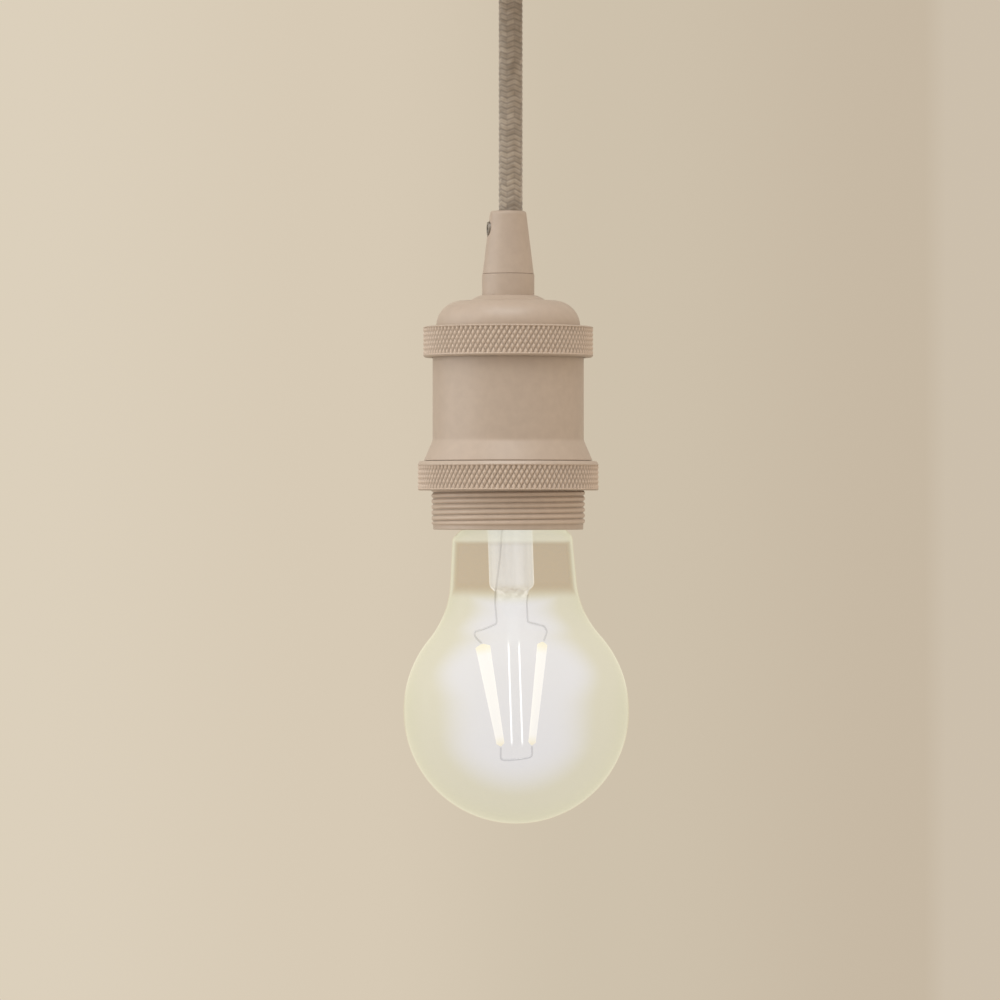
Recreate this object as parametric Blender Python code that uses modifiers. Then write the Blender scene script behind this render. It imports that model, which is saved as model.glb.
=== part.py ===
"""Pendant light: a knurled metal lamp holder hung on a textile cable, with a round filament lamp.

Units are metres and +Z is up. The origin is the middle of the ceiling bracket's top face,
so everything hangs below z = 0. From the top the pieces are the ceiling cup with its
bracket and terminals, the cable, the cord grip, the holder with its porcelain insert,
and the screw-in lamp, whose glass leans a little on its cap.
"""

from math import atan2, ceil, cos, degrees, pi, radians, sin, sqrt

import bmesh
import bpy
from mathutils import Matrix, Vector

# Clearances
SEAT = 0.0003  # between two pieces that rest on each other
THREAD_PLAY = 0.00035  # between a male and a female thread, measured along the radius
SLIDE = 0.0003  # between a piece and the bore that it passes through
SHARP_ANGLE = radians(32)  # edges sharper than this stay crisp in a smooth surface

# Cable
CABLE_RADIUS = 0.00322
CABLE_SHIFT = 0.00065  # the grip's screw pushes the cable off the axis
CABLE_DROP = 0.060  # free length between the two cord grips
CORE_RADIUS = 0.0011
CORE_SPREAD = 0.00135  # of the three cores about the cable's axis
CORE_LEAD = 0.0008  # straight length of a core outside the cable's end

# Ceiling cup and bracket
CUP_RADIUS = 0.040
CUP_DEPTH = 0.026
CUP_WALL = 0.0014
CUP_CORNER = 0.006
BRACKET_WIDTH = 0.022
BRACKET_PLATE = 0.002
BRACKET_TAB = 0.013
SLOT_PLACE = 0.0285
SLOT_RADIUS = 0.0022
SLOT_TRAVEL = 0.0035
CUP_SCREW_DROP = 0.008
CUP_SCREW_RADIUS = 0.0015
CUP_SCREW_LENGTH = 0.0065
CUP_SCREW_HEAD = 0.0028
CEILING_GRIP_LENGTH = 0.010
CEILING_BLOCK_LENGTH = 0.026
CEILING_BLOCK_WIDTH = 0.014
CEILING_BLOCK_HEIGHT = 0.010
CEILING_BLOCK_END = 0.005  # from the outer cores to the block's ends
CEILING_BLOCK_PLACE = 0.0165

# Threaded tubes that join the grips to the cup and to the holder
NIPPLE_RADIUS = 0.005
NIPPLE_BORE = 0.00415
NIPPLE_GRIP = 0.0045  # how far a nipple reaches past the collar into its grip
NUT_RADIUS = 0.0080
NUT_HEIGHT = 0.003

# Cord grip on the holder
CONE_TOP_RADIUS = 0.00475
CONE_BOTTOM_RADIUS = 0.0068
CONE_LENGTH = 0.0166
COLLAR_RADIUS = 0.00695
COLLAR_LENGTH = 0.0053
GRIP_SCREW_RADIUS = 0.0019
GRIP_SCREW_DROP = 0.0048  # below the cone's top
GRIP_SCREW_PROUD = 0.0006
GRIP_SCREW_TURN = radians(8)  # round the cone, towards the viewer
SOCKET_RADIUS = 0.0011
SOCKET_DEPTH = 0.0012

# Holder cap: hub, dome, and a knurled rim that screws on the barrel
HUB_RADIUS = 0.0076
HUB_RISE = 0.0014
DOME_STEP = 0.00095  # of the dome's foot inside the barrel's radius
SHOULDER = 0.0068
CAP_WALL = 0.0016
RIM_WALL = 0.00215  # outside the bore that takes the barrel
RIM_HEIGHT = 0.00825
RIM_LIP = 0.0003
RIM_FOOT = 0.00085
RIM_CHAMFER = 0.0006
KNURL_DEPTH = 0.00042
KNURL_ROWS = 4
KNURL_SPLIT = 4  # grid columns in each side of a turned piece

# Holder barrel, its threaded skirt and the shade ring
BARREL_WALL = 0.0017
BARREL_LENGTH = 0.02725  # from the cap's rim to the flare's lower edge
FLARE_STEP = 0.0023  # of the flare's edge outside the barrel
FLARE_HEIGHT = 0.0057
ENGAGED = 0.0058  # how far the barrel screws up into the cap
SKIRT_LENGTH = 0.0185
SKIRT_STEP = 0.0003  # of the skirt's thread outside the barrel
SKIRT_CHAMFER = 0.0004
RING_WALL = 0.0033
RING_HEIGHT = 0.0078
RING_LIP = 0.0007
RING_CHAMFER = 0.0006

# Porcelain insert and its contacts
INSERT_PLAY = 0.0004  # inside the barrel
INSERT_WALL = 0.00355
SHELL_ROOM = 0.00055  # between the screw shell and the porcelain
INSERT_RECESS = 0.0010  # of its mouth inside the skirt
INSERT_FLOOR = 0.0065
SHELL_WALL = 0.0004
LEAF_WIDTH = 0.0055
LEAF_THICK = 0.0005
LEAF_REACH = 0.0062
LEAF_BEND = 0.0026
LEAF_ROOM = 0.00255  # between the lamp's contact and the porcelain's floor
LEAF_HEEL = 0.0012
LEAF_TOE = 0.0018
LEAF_TIP = 0.0036
LEAF_LIFT = 0.0008
TERMINAL_SIZE = 0.0070
TERMINAL_HEIGHT = 0.0075
LIVE_PLACE = 0.0052
NEUTRAL_PLACE = 0.0102
RIVET_RADIUS = 0.0009
TERMINAL_SCREW_RADIUS = 0.0013
TERMINAL_SCREW_HEAD = 0.0022
BRIDGE_THICK = 0.0012
BRIDGE_WIDTH = 0.0134
BRIDGE_FOOT = 0.0053  # length of each foot outside its leg
BRIDGE_SCREW_RADIUS = 0.0014
BRIDGE_SCREW_HEAD = 0.0023
BRIDGE_SCREW_LENGTH = 0.0060
EARTH_DROP = 0.0085  # of the earth screw below the bridge's top

# Lamp: an E27 screw cap and a round glass
CAP_CREST = 0.01315
CAP_GROOVE = 0.00109  # depth of the cap's thread
CAP_PITCH = 0.00363
CAP_TURNS = 5
CAP_SKIRT = 0.0022
CAP_CONE = 0.0022
CAP_METAL = 0.0003
CAP_MOUTH = 0.0015  # above the skirt's end
INSULATOR_RADIUS = 0.0090
INSULATOR_HEIGHT = 0.0032
CONTACT_RADIUS = 0.0048
CONTACT_HEIGHT = 0.0009
GLASS_RADIUS = 0.0300
GLASS_WALL = 0.0008
GLASS_DROP = 0.0482  # of the globe's centre below the skirt's end
NECK_RADIUS = 0.0158
NECK_FILLET = 0.0250
NECK_SHOULDER = 0.0045
NECK_ROOM = 0.00145  # between the glass neck's end and the cap's mouth
NECK_TUCK = 0.0008  # of the glass inside the cap's mouth
LAMP_LEAN = radians(1.9)
LEAN_PIVOT = 0.0140  # above the skirt's end

# Lamp insides
STEM_RADIUS = 0.0059
STEM_WALL = 0.0010
STEM_ROOM = 0.0012  # between the stem's flare and the neck's end
STEM_PRESS_TOP = 0.0166
STEM_PRESS_END = 0.0240
ROD_RADIUS = 0.0015
ROD_END = 0.0602
LEAD_RADIUS = 0.00035
FILAMENT_RADIUS = 0.0014
FILAMENT_TOP = (0.0077, 0.0302)  # off the lamp's axis, below the skirt's end
FILAMENT_END = (0.0044, 0.0575)
PIN_LENGTH = 0.0016
BRIDGE_WIRE_DROP = 0.0610
BOARD_ROOM = 0.00076  # between the board and the cap's thread
BOARD_THICK = 0.0012
CAPACITOR_RADIUS = 0.0040
CAPACITOR_HEIGHT = 0.0110

# Radii that follow the lamp's cap, from the middle out
cap_root = CAP_CREST - CAP_GROOVE
neck_end = CAP_CREST - CAP_METAL - NECK_ROOM
stem_flare = neck_end - STEM_ROOM
board_radius = cap_root - CAP_METAL - BOARD_ROOM
shell_crest = CAP_CREST + THREAD_PLAY
shell_root = cap_root + THREAD_PLAY
insert_bore = shell_crest + SHELL_WALL + SHELL_ROOM
insert_radius = insert_bore + INSERT_WALL
barrel_bore = insert_radius + INSERT_PLAY
barrel_radius = barrel_bore + BARREL_WALL
rim_bore = barrel_radius + THREAD_PLAY
rim_radius = rim_bore + RIM_WALL
crown_radius = barrel_radius - DOME_STEP - SHOULDER
flare_radius = barrel_radius + FLARE_STEP
skirt_crest = barrel_radius + SKIRT_STEP
ring_bore = skirt_crest + THREAD_PLAY
ring_radius = ring_bore + RING_WALL
foot_end = sqrt((barrel_bore - SEAT) ** 2 - (BRIDGE_WIDTH / 2) ** 2)
bridge_half = foot_end - BRIDGE_FOOT

# Heights, from the ceiling down
cup_bottom = -CUP_DEPTH
ceiling_grip_top = cup_bottom - SEAT
cone_top = ceiling_grip_top - CEILING_GRIP_LENGTH - CABLE_DROP
cone_bottom = cone_top - CONE_LENGTH
collar_top = cone_bottom - SEAT
collar_bottom = collar_top - COLLAR_LENGTH
hub_top = collar_bottom - SEAT
crown = hub_top - HUB_RISE
rim_top = crown - SHOULDER
rim_bottom = rim_top - RIM_HEIGHT
flare_bottom = rim_bottom - BARREL_LENGTH
skirt_end = flare_bottom - SKIRT_LENGTH

# Colours, roughness and metallic value of each kind of surface
PAINT = ((0.45, 0.345, 0.262, 1), 0.62, 0.0)
TEXTILE = ((0.275, 0.216, 0.156, 1), 0.92, 0.0)
STEEL = ((0.60, 0.60, 0.60, 1), 0.35, 1.0)
DARK_STEEL = ((0.05, 0.05, 0.05, 1), 0.45, 1.0)
BRASS = ((0.72, 0.52, 0.24, 1), 0.35, 1.0)
NICKEL = ((0.72, 0.70, 0.66, 1), 0.28, 1.0)
PORCELAIN = ((0.86, 0.84, 0.79, 1), 0.30, 0.0)
GLASS = ((0.95, 0.93, 0.88, 1), 0.05, 0.0)
PHOSPHOR = ((0.95, 0.78, 0.36, 1), 0.50, 0.0)
VITRITE = ((0.02, 0.02, 0.02, 1), 0.20, 0.0)
NYLON = ((0.85, 0.85, 0.82, 1), 0.45, 0.0)
LIVE_BROWN = ((0.20, 0.09, 0.04, 1), 0.50, 0.0)
NEUTRAL_BLUE = ((0.04, 0.14, 0.45, 1), 0.50, 0.0)
EARTH_GREEN = ((0.25, 0.45, 0.06, 1), 0.50, 0.0)
BOARD_GREEN = ((0.04, 0.22, 0.10, 1), 0.50, 0.0)

for old in list(bpy.data.objects):
    bpy.data.objects.remove(old)

light = bpy.data.collections.new("pendant_light")
cutters = bpy.data.collections.new("cutters")
bpy.context.scene.collection.children.link(light)
bpy.context.scene.collection.children.link(cutters)


def guide(name, parent=None, location=(0, 0, 0), rotation=(0, 0, 0)):
    """An empty that carries a group of pieces."""
    empty = bpy.data.objects.new(name, None)
    empty.location = location
    empty.rotation_euler = rotation
    empty.parent = parent
    light.objects.link(empty)
    return empty


def material(name, look):
    """A Principled material with the piece's colour, roughness and metallic value."""
    colour, roughness, metallic = look
    made = bpy.data.materials.new(name)
    made.use_nodes = True
    shader = made.node_tree.nodes["Principled BSDF"]
    shader.inputs["Base Color"].default_value = colour
    shader.inputs["Roughness"].default_value = roughness
    shader.inputs["Metallic"].default_value = metallic
    return made


def piece(name, data, look, parent=None, location=(0, 0, 0)):
    """Puts a mesh or a curve in the scene under its own name and material."""
    made = bpy.data.objects.new(name, data)
    made.location = location
    made.parent = parent
    data.materials.append(material(name, look))
    light.objects.link(made)
    return made


def crisp(mesh):
    mesh.shade_smooth()
    mesh.set_sharp_from_angle(angle=SHARP_ANGLE)


def applied(made):
    """Makes the object's modifiers part of its mesh."""
    graph = bpy.context.evaluated_depsgraph_get()
    mesh = bpy.data.meshes.new_from_object(made.evaluated_get(graph))
    made.modifiers.clear()
    made.data = mesh
    crisp(mesh)
    return made


def turned(name, outline, look, parent=None, segments=32, wall=0.0, closed=True):
    """Turns an outline of (radius, height) points round Z. It runs down the outer side."""
    mesh = bpy.data.meshes.new(name)
    edges = [(i, i + 1) for i in range(len(outline) - 1)]
    if closed and outline[0][0] > 0 and outline[-1][0] > 0:
        edges.append((len(outline) - 1, 0))
    mesh.from_pydata([(radius, 0, height) for radius, height in outline], edges, [])
    made = piece(name, mesh, look, parent)
    screw = made.modifiers.new("turn", "SCREW")
    screw.steps = segments
    screw.render_steps = segments
    screw.use_merge_vertices = True
    screw.merge_threshold = 0.00001
    if wall:
        solid = made.modifiers.new("wall", "SOLIDIFY")
        solid.thickness = wall
        solid.offset = -1
        solid.use_even_offset = True
    return applied(made)


def arc(centre, radius, start, end, steps):
    """Points on an arc, with its angles in degrees from the +radius axis."""
    turns = [radians(start + (end - start) * i / steps) for i in range(steps + 1)]
    return [(centre[0] + radius * cos(a), centre[1] + radius * sin(a)) for a in turns]


def block(name, low, high, look, parent=None, bevel=0.0):
    """A box between two corners, with softened edges if bevel is set."""
    mesh = bpy.data.meshes.new(name)
    shape = bmesh.new()
    low, high = Vector(low), Vector(high)
    size = Matrix.Diagonal((*(high - low), 1))
    bmesh.ops.create_cube(shape, size=1, matrix=Matrix.Translation((low + high) / 2) @ size)
    shape.to_mesh(mesh)
    shape.free()
    made = piece(name, mesh, look, parent)
    if bevel:
        soft = made.modifiers.new("edges", "BEVEL")
        soft.width = bevel
        soft.segments = 1
        soft.limit_method = "ANGLE"
    return made


def rod_mesh(name, start, end, radius, segments=10, end_radius=None):
    """A cylinder or a cone between two points."""
    start, end = Vector(start), Vector(end)
    way = end - start
    turn = way.to_track_quat("Z", "Y").to_matrix().to_4x4()
    mesh = bpy.data.meshes.new(name)
    shape = bmesh.new()
    bmesh.ops.create_cone(
        shape,
        cap_ends=True,
        segments=segments,
        radius1=radius,
        radius2=radius if end_radius is None else end_radius,
        depth=way.length,
        matrix=Matrix.Translation((start + end) / 2) @ turn,
    )
    shape.to_mesh(mesh)
    shape.free()
    crisp(mesh)
    return mesh


def screw_piece(name, seat, way, sizes, look, parent=None, segments=8):
    """A screw whose head sits on the point seat, with its shank going along way."""
    shank_radius, shank, head_radius, head = sizes
    outline = [
        (0, head),
        (head_radius * 0.8, head),
        (head_radius, 0),
        (shank_radius, 0),
        (shank_radius, -shank),
        (0, -shank),
    ]
    made = turned(name, outline, look, parent, segments)
    made.location = seat
    made.rotation_mode = "QUATERNION"
    made.rotation_quaternion = (-Vector(way)).to_track_quat("Z", "Y")
    return made


def cut(target, mesh, parent=None, operation="DIFFERENCE"):
    """Cuts a hidden mesh out of the target, or joins it on."""
    tool = bpy.data.objects.new(f"{target.name}_{mesh.name}", mesh)
    tool.parent = parent
    tool.hide_render = True
    tool.display_type = "WIRE"
    cutters.objects.link(tool)
    change = target.modifiers.new(mesh.name, "BOOLEAN")
    change.operation = operation
    change.object = tool
    return tool


def strip(name, outline, width, look, parent=None):
    """A flat outline of (across, height) points in the XZ plane, extruded along Y."""
    data = bpy.data.curves.new(name, "CURVE")
    data.dimensions = "2D"
    data.fill_mode = "BOTH"
    data.extrude = width / 2
    line = data.splines.new("POLY")
    line.points.add(len(outline) - 1)
    for point, (across, height) in zip(line.points, outline):
        point.co = (across, height, 0, 1)
    line.use_cyclic_u = True
    flat = bpy.data.objects.new(name, data)
    bpy.context.scene.collection.objects.link(flat)
    graph = bpy.context.evaluated_depsgraph_get()
    mesh = bpy.data.meshes.new_from_object(flat.evaluated_get(graph))
    bpy.data.objects.remove(flat)
    shape = bmesh.new()
    shape.from_mesh(mesh)
    bmesh.ops.remove_doubles(shape, verts=shape.verts, dist=0.000001)
    bmesh.ops.rotate(shape, verts=shape.verts, matrix=Matrix.Rotation(pi / 2, 3, "X"))
    shape.to_mesh(mesh)
    shape.free()
    mesh.name = name
    return piece(name, mesh, look, parent)


def bent(line, thick):
    """The outline of a thin strip that follows a line of (across, height) points."""
    left = []
    right = []
    for i, (x, z) in enumerate(line):
        before = Vector(line[max(i - 1, 0)])
        after = Vector(line[min(i + 1, len(line) - 1)])
        here = Vector((x, z))
        ins = (here - before).normalized() if i else (after - here).normalized()
        outs = (after - here).normalized() if i < len(line) - 1 else ins
        middle = (ins + outs).normalized()
        side = Vector((-middle.y, middle.x))
        reach = thick / 2 / max(side.dot(Vector((-ins.y, ins.x))), 0.3)
        left.append(tuple(here + side * reach))
        right.append(tuple(here - side * reach))
    return left + right[::-1]


def wire(name, route, radius, look, parent=None, resolution=2):
    """A round wire or tube along the points of a route."""
    data = bpy.data.curves.new(name, "CURVE")
    data.dimensions = "3D"
    data.bevel_depth = radius
    data.bevel_resolution = resolution
    data.use_fill_caps = True
    line = data.splines.new("POLY")
    line.points.add(len(route) - 1)
    for point, place in zip(line.points, route):
        point.co = (*place, 1)
    line.use_smooth = True
    return piece(name, data, look, parent)


def eased(start, end, steps, out=(0, 0, -1), into=(0, 0, -1), pull=0.4):
    """Points on a smooth path that leaves start along out, after a straight lead into it,
    and reaches end along into."""
    start, end = Vector(start), Vector(end)
    reach = (end - start).length * pull
    first = start + Vector(out) * reach
    last = end - Vector(into) * reach
    route = [start - Vector(out) * CORE_LEAD]
    for i in range(steps + 1):
        t = i / steps
        u = 1 - t
        route.append(u**3 * start + 3 * u * u * t * first + 3 * u * t * t * last + t**3 * end)
    return route


def zigzag(crest, root, high, turns, pitch):
    """A thread's outline from high down: root, crest, root and so on, in whole turns."""
    points = [(root, high)]
    for i in range(turns):
        points.append((crest, high - (i + 0.5) * pitch))
        points.append((root, high - (i + 1) * pitch))
    return points


def knurl(made, low, high, peak, rows):
    """Raises diamond points on the band of a turned piece between two heights.

    Every second corner of the band's grid moves out to the peak radius, so that each row of
    points lies half a pitch past the last, and each square is folded along its valley."""
    shape = bmesh.new()
    shape.from_mesh(made.data)
    band = [
        edge
        for edge in shape.edges
        if {round(v.co.z, 5) for v in edge.verts} == {round(low, 5), round(high, 5)}
        and all(v.co.xy.length > peak - 2 * KNURL_DEPTH for v in edge.verts)
    ]
    bmesh.ops.subdivide_edges(shape, edges=band, cuts=rows - 1)
    level = [
        edge
        for edge in shape.edges
        if abs(edge.verts[0].co.z - edge.verts[1].co.z) < 0.00001
        and low - 0.00001 < edge.verts[0].co.z < high + 0.00001
        and all(peak - 2 * KNURL_DEPTH < v.co.xy.length < peak - KNURL_DEPTH / 2 for v in edge.verts)
    ]
    around = len(level) // (rows + 1) * KNURL_SPLIT
    bmesh.ops.subdivide_edges(shape, edges=level, cuts=KNURL_SPLIT - 1)
    valley = peak - KNURL_DEPTH
    points = {}
    for vert in shape.verts:
        flat = vert.co.xy.length
        if low - 0.00001 < vert.co.z < high + 0.00001 and valley * 0.98 < flat < peak - KNURL_DEPTH / 2:
            row = round((vert.co.z - low) / (high - low) * rows)
            column = round(atan2(vert.co.y, vert.co.x) / (2 * pi) * around) % around
            points[vert] = 0 < row < rows and (row + column) % 2 == 1
    for vert, raised in points.items():
        vert.co.xy *= (peak if raised else valley) / vert.co.xy.length
    for face in list(shape.faces):
        valleys = [v for v in face.verts if v in points and not points[v]]
        if len(face.verts) == 4 and len(valleys) == 2 and all(v in points for v in face.verts):
            bmesh.utils.face_split(face, *valleys)
    shape.normal_update()
    shape.to_mesh(made.data)
    shape.free()
    crisp(made.data)


# The ceiling cup is a spun shell, open at the ceiling
ceiling = guide("ceiling")
cup = turned(
    "ceiling_cup",
    [(CUP_RADIUS, -SEAT), *arc((CUP_RADIUS - CUP_CORNER, cup_bottom + CUP_CORNER), CUP_CORNER, 0, -90, 4),
     (NIPPLE_RADIUS + SLIDE, cup_bottom)],
    PAINT,
    ceiling,
    segments=28,
    wall=CUP_WALL,
    closed=False,
)

# The bracket is a strip across the cup with a tab bent down at each end
cup_inside = CUP_RADIUS - CUP_WALL
tab_face = sqrt((cup_inside - SEAT) ** 2 - (BRACKET_WIDTH / 2) ** 2)
tab_middle = tab_face - BRACKET_PLATE / 2
plate_middle = -BRACKET_PLATE / 2
bracket = strip(
    "ceiling_bracket",
    bent(
        [(-tab_middle, -BRACKET_TAB), (-tab_middle, plate_middle), (tab_middle, plate_middle),
         (tab_middle, -BRACKET_TAB)],
        BRACKET_PLATE,
    ),
    BRACKET_WIDTH,
    STEEL,
    ceiling,
)
for side in (-1, 1):
    slot = rod_mesh("slot", (0, 0, BRACKET_PLATE), (0, 0, -2 * BRACKET_PLATE), SLOT_RADIUS, 16)
    tool = cut(bracket, slot, ceiling)
    tool.location = (side * SLOT_PLACE, 0, 0)
    tool.scale = (1, 1 + SLOT_TRAVEL / SLOT_RADIUS, 1)
    hole = rod_mesh(
        "tab_hole",
        (side * (tab_middle - BRACKET_PLATE), 0, -CUP_SCREW_DROP),
        (side * (tab_middle + BRACKET_PLATE), 0, -CUP_SCREW_DROP),
        CUP_SCREW_RADIUS + SLIDE,
        16,
    )
    cut(bracket, hole, ceiling)
    hole = rod_mesh(
        "cup_hole",
        (side * (cup_inside - CUP_WALL), 0, -CUP_SCREW_DROP),
        (side * (CUP_RADIUS + CUP_WALL), 0, -CUP_SCREW_DROP),
        CUP_SCREW_RADIUS + SLIDE,
        16,
    )
    cut(cup, hole, ceiling)
    screw_piece(
        f"cup_screw_{'left' if side < 0 else 'right'}",
        (side * (CUP_RADIUS + SEAT), 0, -CUP_SCREW_DROP),
        (-side, 0, 0),
        (CUP_SCREW_RADIUS, CUP_SCREW_LENGTH, CUP_SCREW_HEAD, 0.0018),
        STEEL,
        ceiling,
        segments=10,
    )


def nipple_and_nut(prefix, plate_top, plate_bottom, tip, look, parent, up=1):
    """A threaded tube through a plate, with a hexagon nut on the side away from its tip.

    up is 1 where the tip points up and the nut is below, and -1 for the other way round."""
    nut_face = plate_bottom - SEAT if up > 0 else plate_top + SEAT
    nut_end = nut_face - up * NUT_HEIGHT
    tail = nut_end - up * 0.0012
    top, bottom = max(tip, tail), min(tip, tail)
    turned(
        f"{prefix}_nipple",
        [(NIPPLE_RADIUS, top), (NIPPLE_RADIUS, bottom), (NIPPLE_BORE, bottom), (NIPPLE_BORE, top)],
        look,
        parent,
        segments=16,
    )
    hexagon = rod_mesh(f"{prefix}_nut", (0, 0, nut_face), (0, 0, nut_end), NUT_RADIUS, 6)
    nut = piece(f"{prefix}_nut", hexagon, look, parent)
    bore = NIPPLE_RADIUS + SLIDE
    above, below = (0, 0, nut_face + up * bore), (0, 0, nut_end - up * bore)
    cut(nut, rod_mesh("nut_bore", above, below, bore, 20), parent)


# The cup's cord grip is a plain collar on a nipple through the cup's floor
ceiling_grip_bottom = ceiling_grip_top - CEILING_GRIP_LENGTH
grip_bore = NIPPLE_BORE
nipple_tip = ceiling_grip_top - NIPPLE_GRIP
turned(
    "ceiling_grip",
    [
        (COLLAR_RADIUS, ceiling_grip_top),
        (COLLAR_RADIUS, ceiling_grip_bottom + RING_CHAMFER),
        (COLLAR_RADIUS - RING_CHAMFER, ceiling_grip_bottom),
        (grip_bore, ceiling_grip_bottom),
        (grip_bore, nipple_tip - SEAT),
        (NIPPLE_RADIUS + SLIDE, nipple_tip - SEAT),
        (NIPPLE_RADIUS + SLIDE, ceiling_grip_top),
    ],
    PAINT,
    ceiling,
    segments=20,
)
nipple_and_nut(
    "ceiling", cup_bottom + CUP_WALL, cup_bottom, nipple_tip, BRASS, ceiling, up=-1
)


def grub_screw(name, drop, outer, look, parent):
    """A socket set screw pointing at the cable, and the hole that it needs in its grip."""
    way = Vector((cos(GRIP_SCREW_TURN), sin(GRIP_SCREW_TURN), 0))
    across = CABLE_SHIFT * way.x
    reach = sqrt(CABLE_RADIUS**2 - (CABLE_SHIFT * way.y) ** 2) - across + SEAT / 3
    start = way * -(outer + GRIP_SCREW_PROUD)
    end = way * -reach
    place = Vector((0, 0, drop))
    body = piece(name, rod_mesh(name, start + place, end + place, GRIP_SCREW_RADIUS, 16), look, parent)
    socket = rod_mesh("socket", start * 1.1 + place, start + way * SOCKET_DEPTH + place, SOCKET_RADIUS, 6)
    cut(body, socket, parent)
    return rod_mesh(
        "screw_hole", start * 1.3 + place, way * -CABLE_SHIFT + place, GRIP_SCREW_RADIUS + SLIDE, 20
    )


ceiling_screw_height = ceiling_grip_bottom + GRIP_SCREW_RADIUS + 3 * SLIDE
hole = grub_screw("ceiling_grip_screw", ceiling_screw_height, COLLAR_RADIUS, DARK_STEEL, ceiling)
cut(bpy.data.objects["ceiling_grip"], hole, ceiling)

# Terminal block under the bracket, with a clamp screw for each core
block_top = -BRACKET_PLATE - SEAT
block_bottom = block_top - CEILING_BLOCK_HEIGHT
block_near = -(CEILING_BLOCK_PLACE - CEILING_BLOCK_WIDTH / 2)
block_far = block_near - CEILING_BLOCK_WIDTH
core_height = (block_top + block_bottom) / 2
terminals = block(
    "ceiling_terminal_block",
    (block_far, -CEILING_BLOCK_LENGTH / 2, block_bottom),
    (block_near, CEILING_BLOCK_LENGTH / 2, block_top),
    NYLON,
    ceiling,
    bevel=0.0006,
)
cable_axis = Vector((CABLE_SHIFT, 0, 0))
cable_top = block_bottom - 0.0012
cores = (
    ("live", 1, LIVE_BROWN),
    ("neutral", -1, NEUTRAL_BLUE),
    ("earth", 0, EARTH_GREEN),
)
core_depth = CEILING_BLOCK_WIDTH * 0.35
clamp_reach = CEILING_BLOCK_HEIGHT / 2 - CORE_RADIUS - 2 * SEAT
for name, row, look in cores:
    place = row * (CEILING_BLOCK_LENGTH / 2 - CEILING_BLOCK_END)
    hole = rod_mesh(
        f"{name}_hole",
        (block_near + 0.001, place, core_height),
        (block_near - core_depth - SLIDE, place, core_height),
        CORE_RADIUS + SLIDE,
        10,
    )
    cut(terminals, hole, ceiling)
    turn = radians(180 - 120 * row)
    start = cable_axis + Vector((cos(turn), sin(turn), 0)) * CORE_SPREAD
    start.z = cable_top + SEAT + CORE_LEAD
    route = eased(start, (block_near + 2 * SLIDE, place, core_height), 6, (0, 0, 1), (-1, 0, 0), 0.45)
    route.append((block_near - core_depth, place, core_height))
    wire(f"ceiling_{name}_core", route, CORE_RADIUS, look, ceiling, resolution=1)
    screw_piece(
        f"ceiling_{name}_screw",
        (block_near - core_depth, place, block_bottom - SEAT),
        (0, 0, 1),
        (TERMINAL_SCREW_RADIUS, clamp_reach, TERMINAL_SCREW_HEAD, 0.0012),
        BRASS,
        ceiling,
    )
    hole = rod_mesh(
        f"{name}_screw_hole",
        (block_near - core_depth, place, block_bottom - 0.001),
        (block_near - core_depth, place, core_height),
        TERMINAL_SCREW_RADIUS + SLIDE,
        10,
    )
    cut(terminals, hole, ceiling)

# The holder's own heights are measured up from the end of its skirt
holder = guide("holder", location=(0, 0, skirt_end))
hub = hub_top - skirt_end
crown_height = crown - skirt_end
rim_high = rim_top - skirt_end
rim_low = rim_bottom - skirt_end
flare_low = flare_bottom - skirt_end
collar_low = collar_bottom - skirt_end
collar_high = collar_top - skirt_end
cone_low = cone_bottom - skirt_end
cone_high = cone_top - skirt_end
nipple_top = cone_low + NIPPLE_GRIP
pass_bore = NIPPLE_RADIUS + SLIDE

# Cord grip: a cone with its set screw, on a collar
cone = turned(
    "grip_cone",
    [
        (CONE_TOP_RADIUS, cone_high),
        (CONE_BOTTOM_RADIUS, cone_low),
        (pass_bore, cone_low),
        (pass_bore, nipple_top + SEAT),
        (grip_bore, nipple_top + SEAT),
        (grip_bore, cone_high),
    ],
    PAINT,
    holder,
    segments=24,
)
slope = (CONE_BOTTOM_RADIUS - CONE_TOP_RADIUS) / CONE_LENGTH
screw_height = cone_high - GRIP_SCREW_DROP
outer = CONE_TOP_RADIUS + slope * GRIP_SCREW_DROP
cut(cone, grub_screw("grip_screw", screw_height, outer, DARK_STEEL, holder), holder)
turned(
    "grip_collar",
    [
        (COLLAR_RADIUS, collar_high),
        (COLLAR_RADIUS, collar_low),
        (pass_bore, collar_low),
        (pass_bore, collar_high),
    ],
    PAINT,
    holder,
    segments=24,
)

# Holder cap: a flat hub, a hollow slope, a round shoulder and a knurled rim
cap_inside = crown_radius, rim_high
inner_top = crown_height - CAP_WALL
valley = rim_radius - KNURL_DEPTH
knurl_high = rim_high - RIM_LIP
knurl_low = rim_low + RIM_FOOT
cap_outline = [
    (HUB_RADIUS, hub),
    (HUB_RADIUS + HUB_RISE, hub - HUB_RISE * 0.45),
    (HUB_RADIUS + HUB_RISE * 1.9, crown_height),
    *arc(cap_inside, SHOULDER, 90, 0, 5),
    (rim_radius, rim_high),
    (rim_radius, knurl_high),
    (valley, knurl_high),
    (valley, knurl_low),
    (rim_radius, knurl_low),
    (rim_radius, rim_low + RIM_CHAMFER),
    (rim_radius - RIM_CHAMFER, rim_low),
    (rim_bore, rim_low),
    (rim_bore, rim_low + ENGAGED + SEAT),
    *arc(cap_inside, SHOULDER - CAP_WALL, 0, 90, 3),
    (pass_bore, inner_top),
    (pass_bore, hub),
]
cap = turned("holder_cap", cap_outline, PAINT, holder, segments=32)
knurl(cap, knurl_low, knurl_high, rim_radius, KNURL_ROWS)

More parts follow.
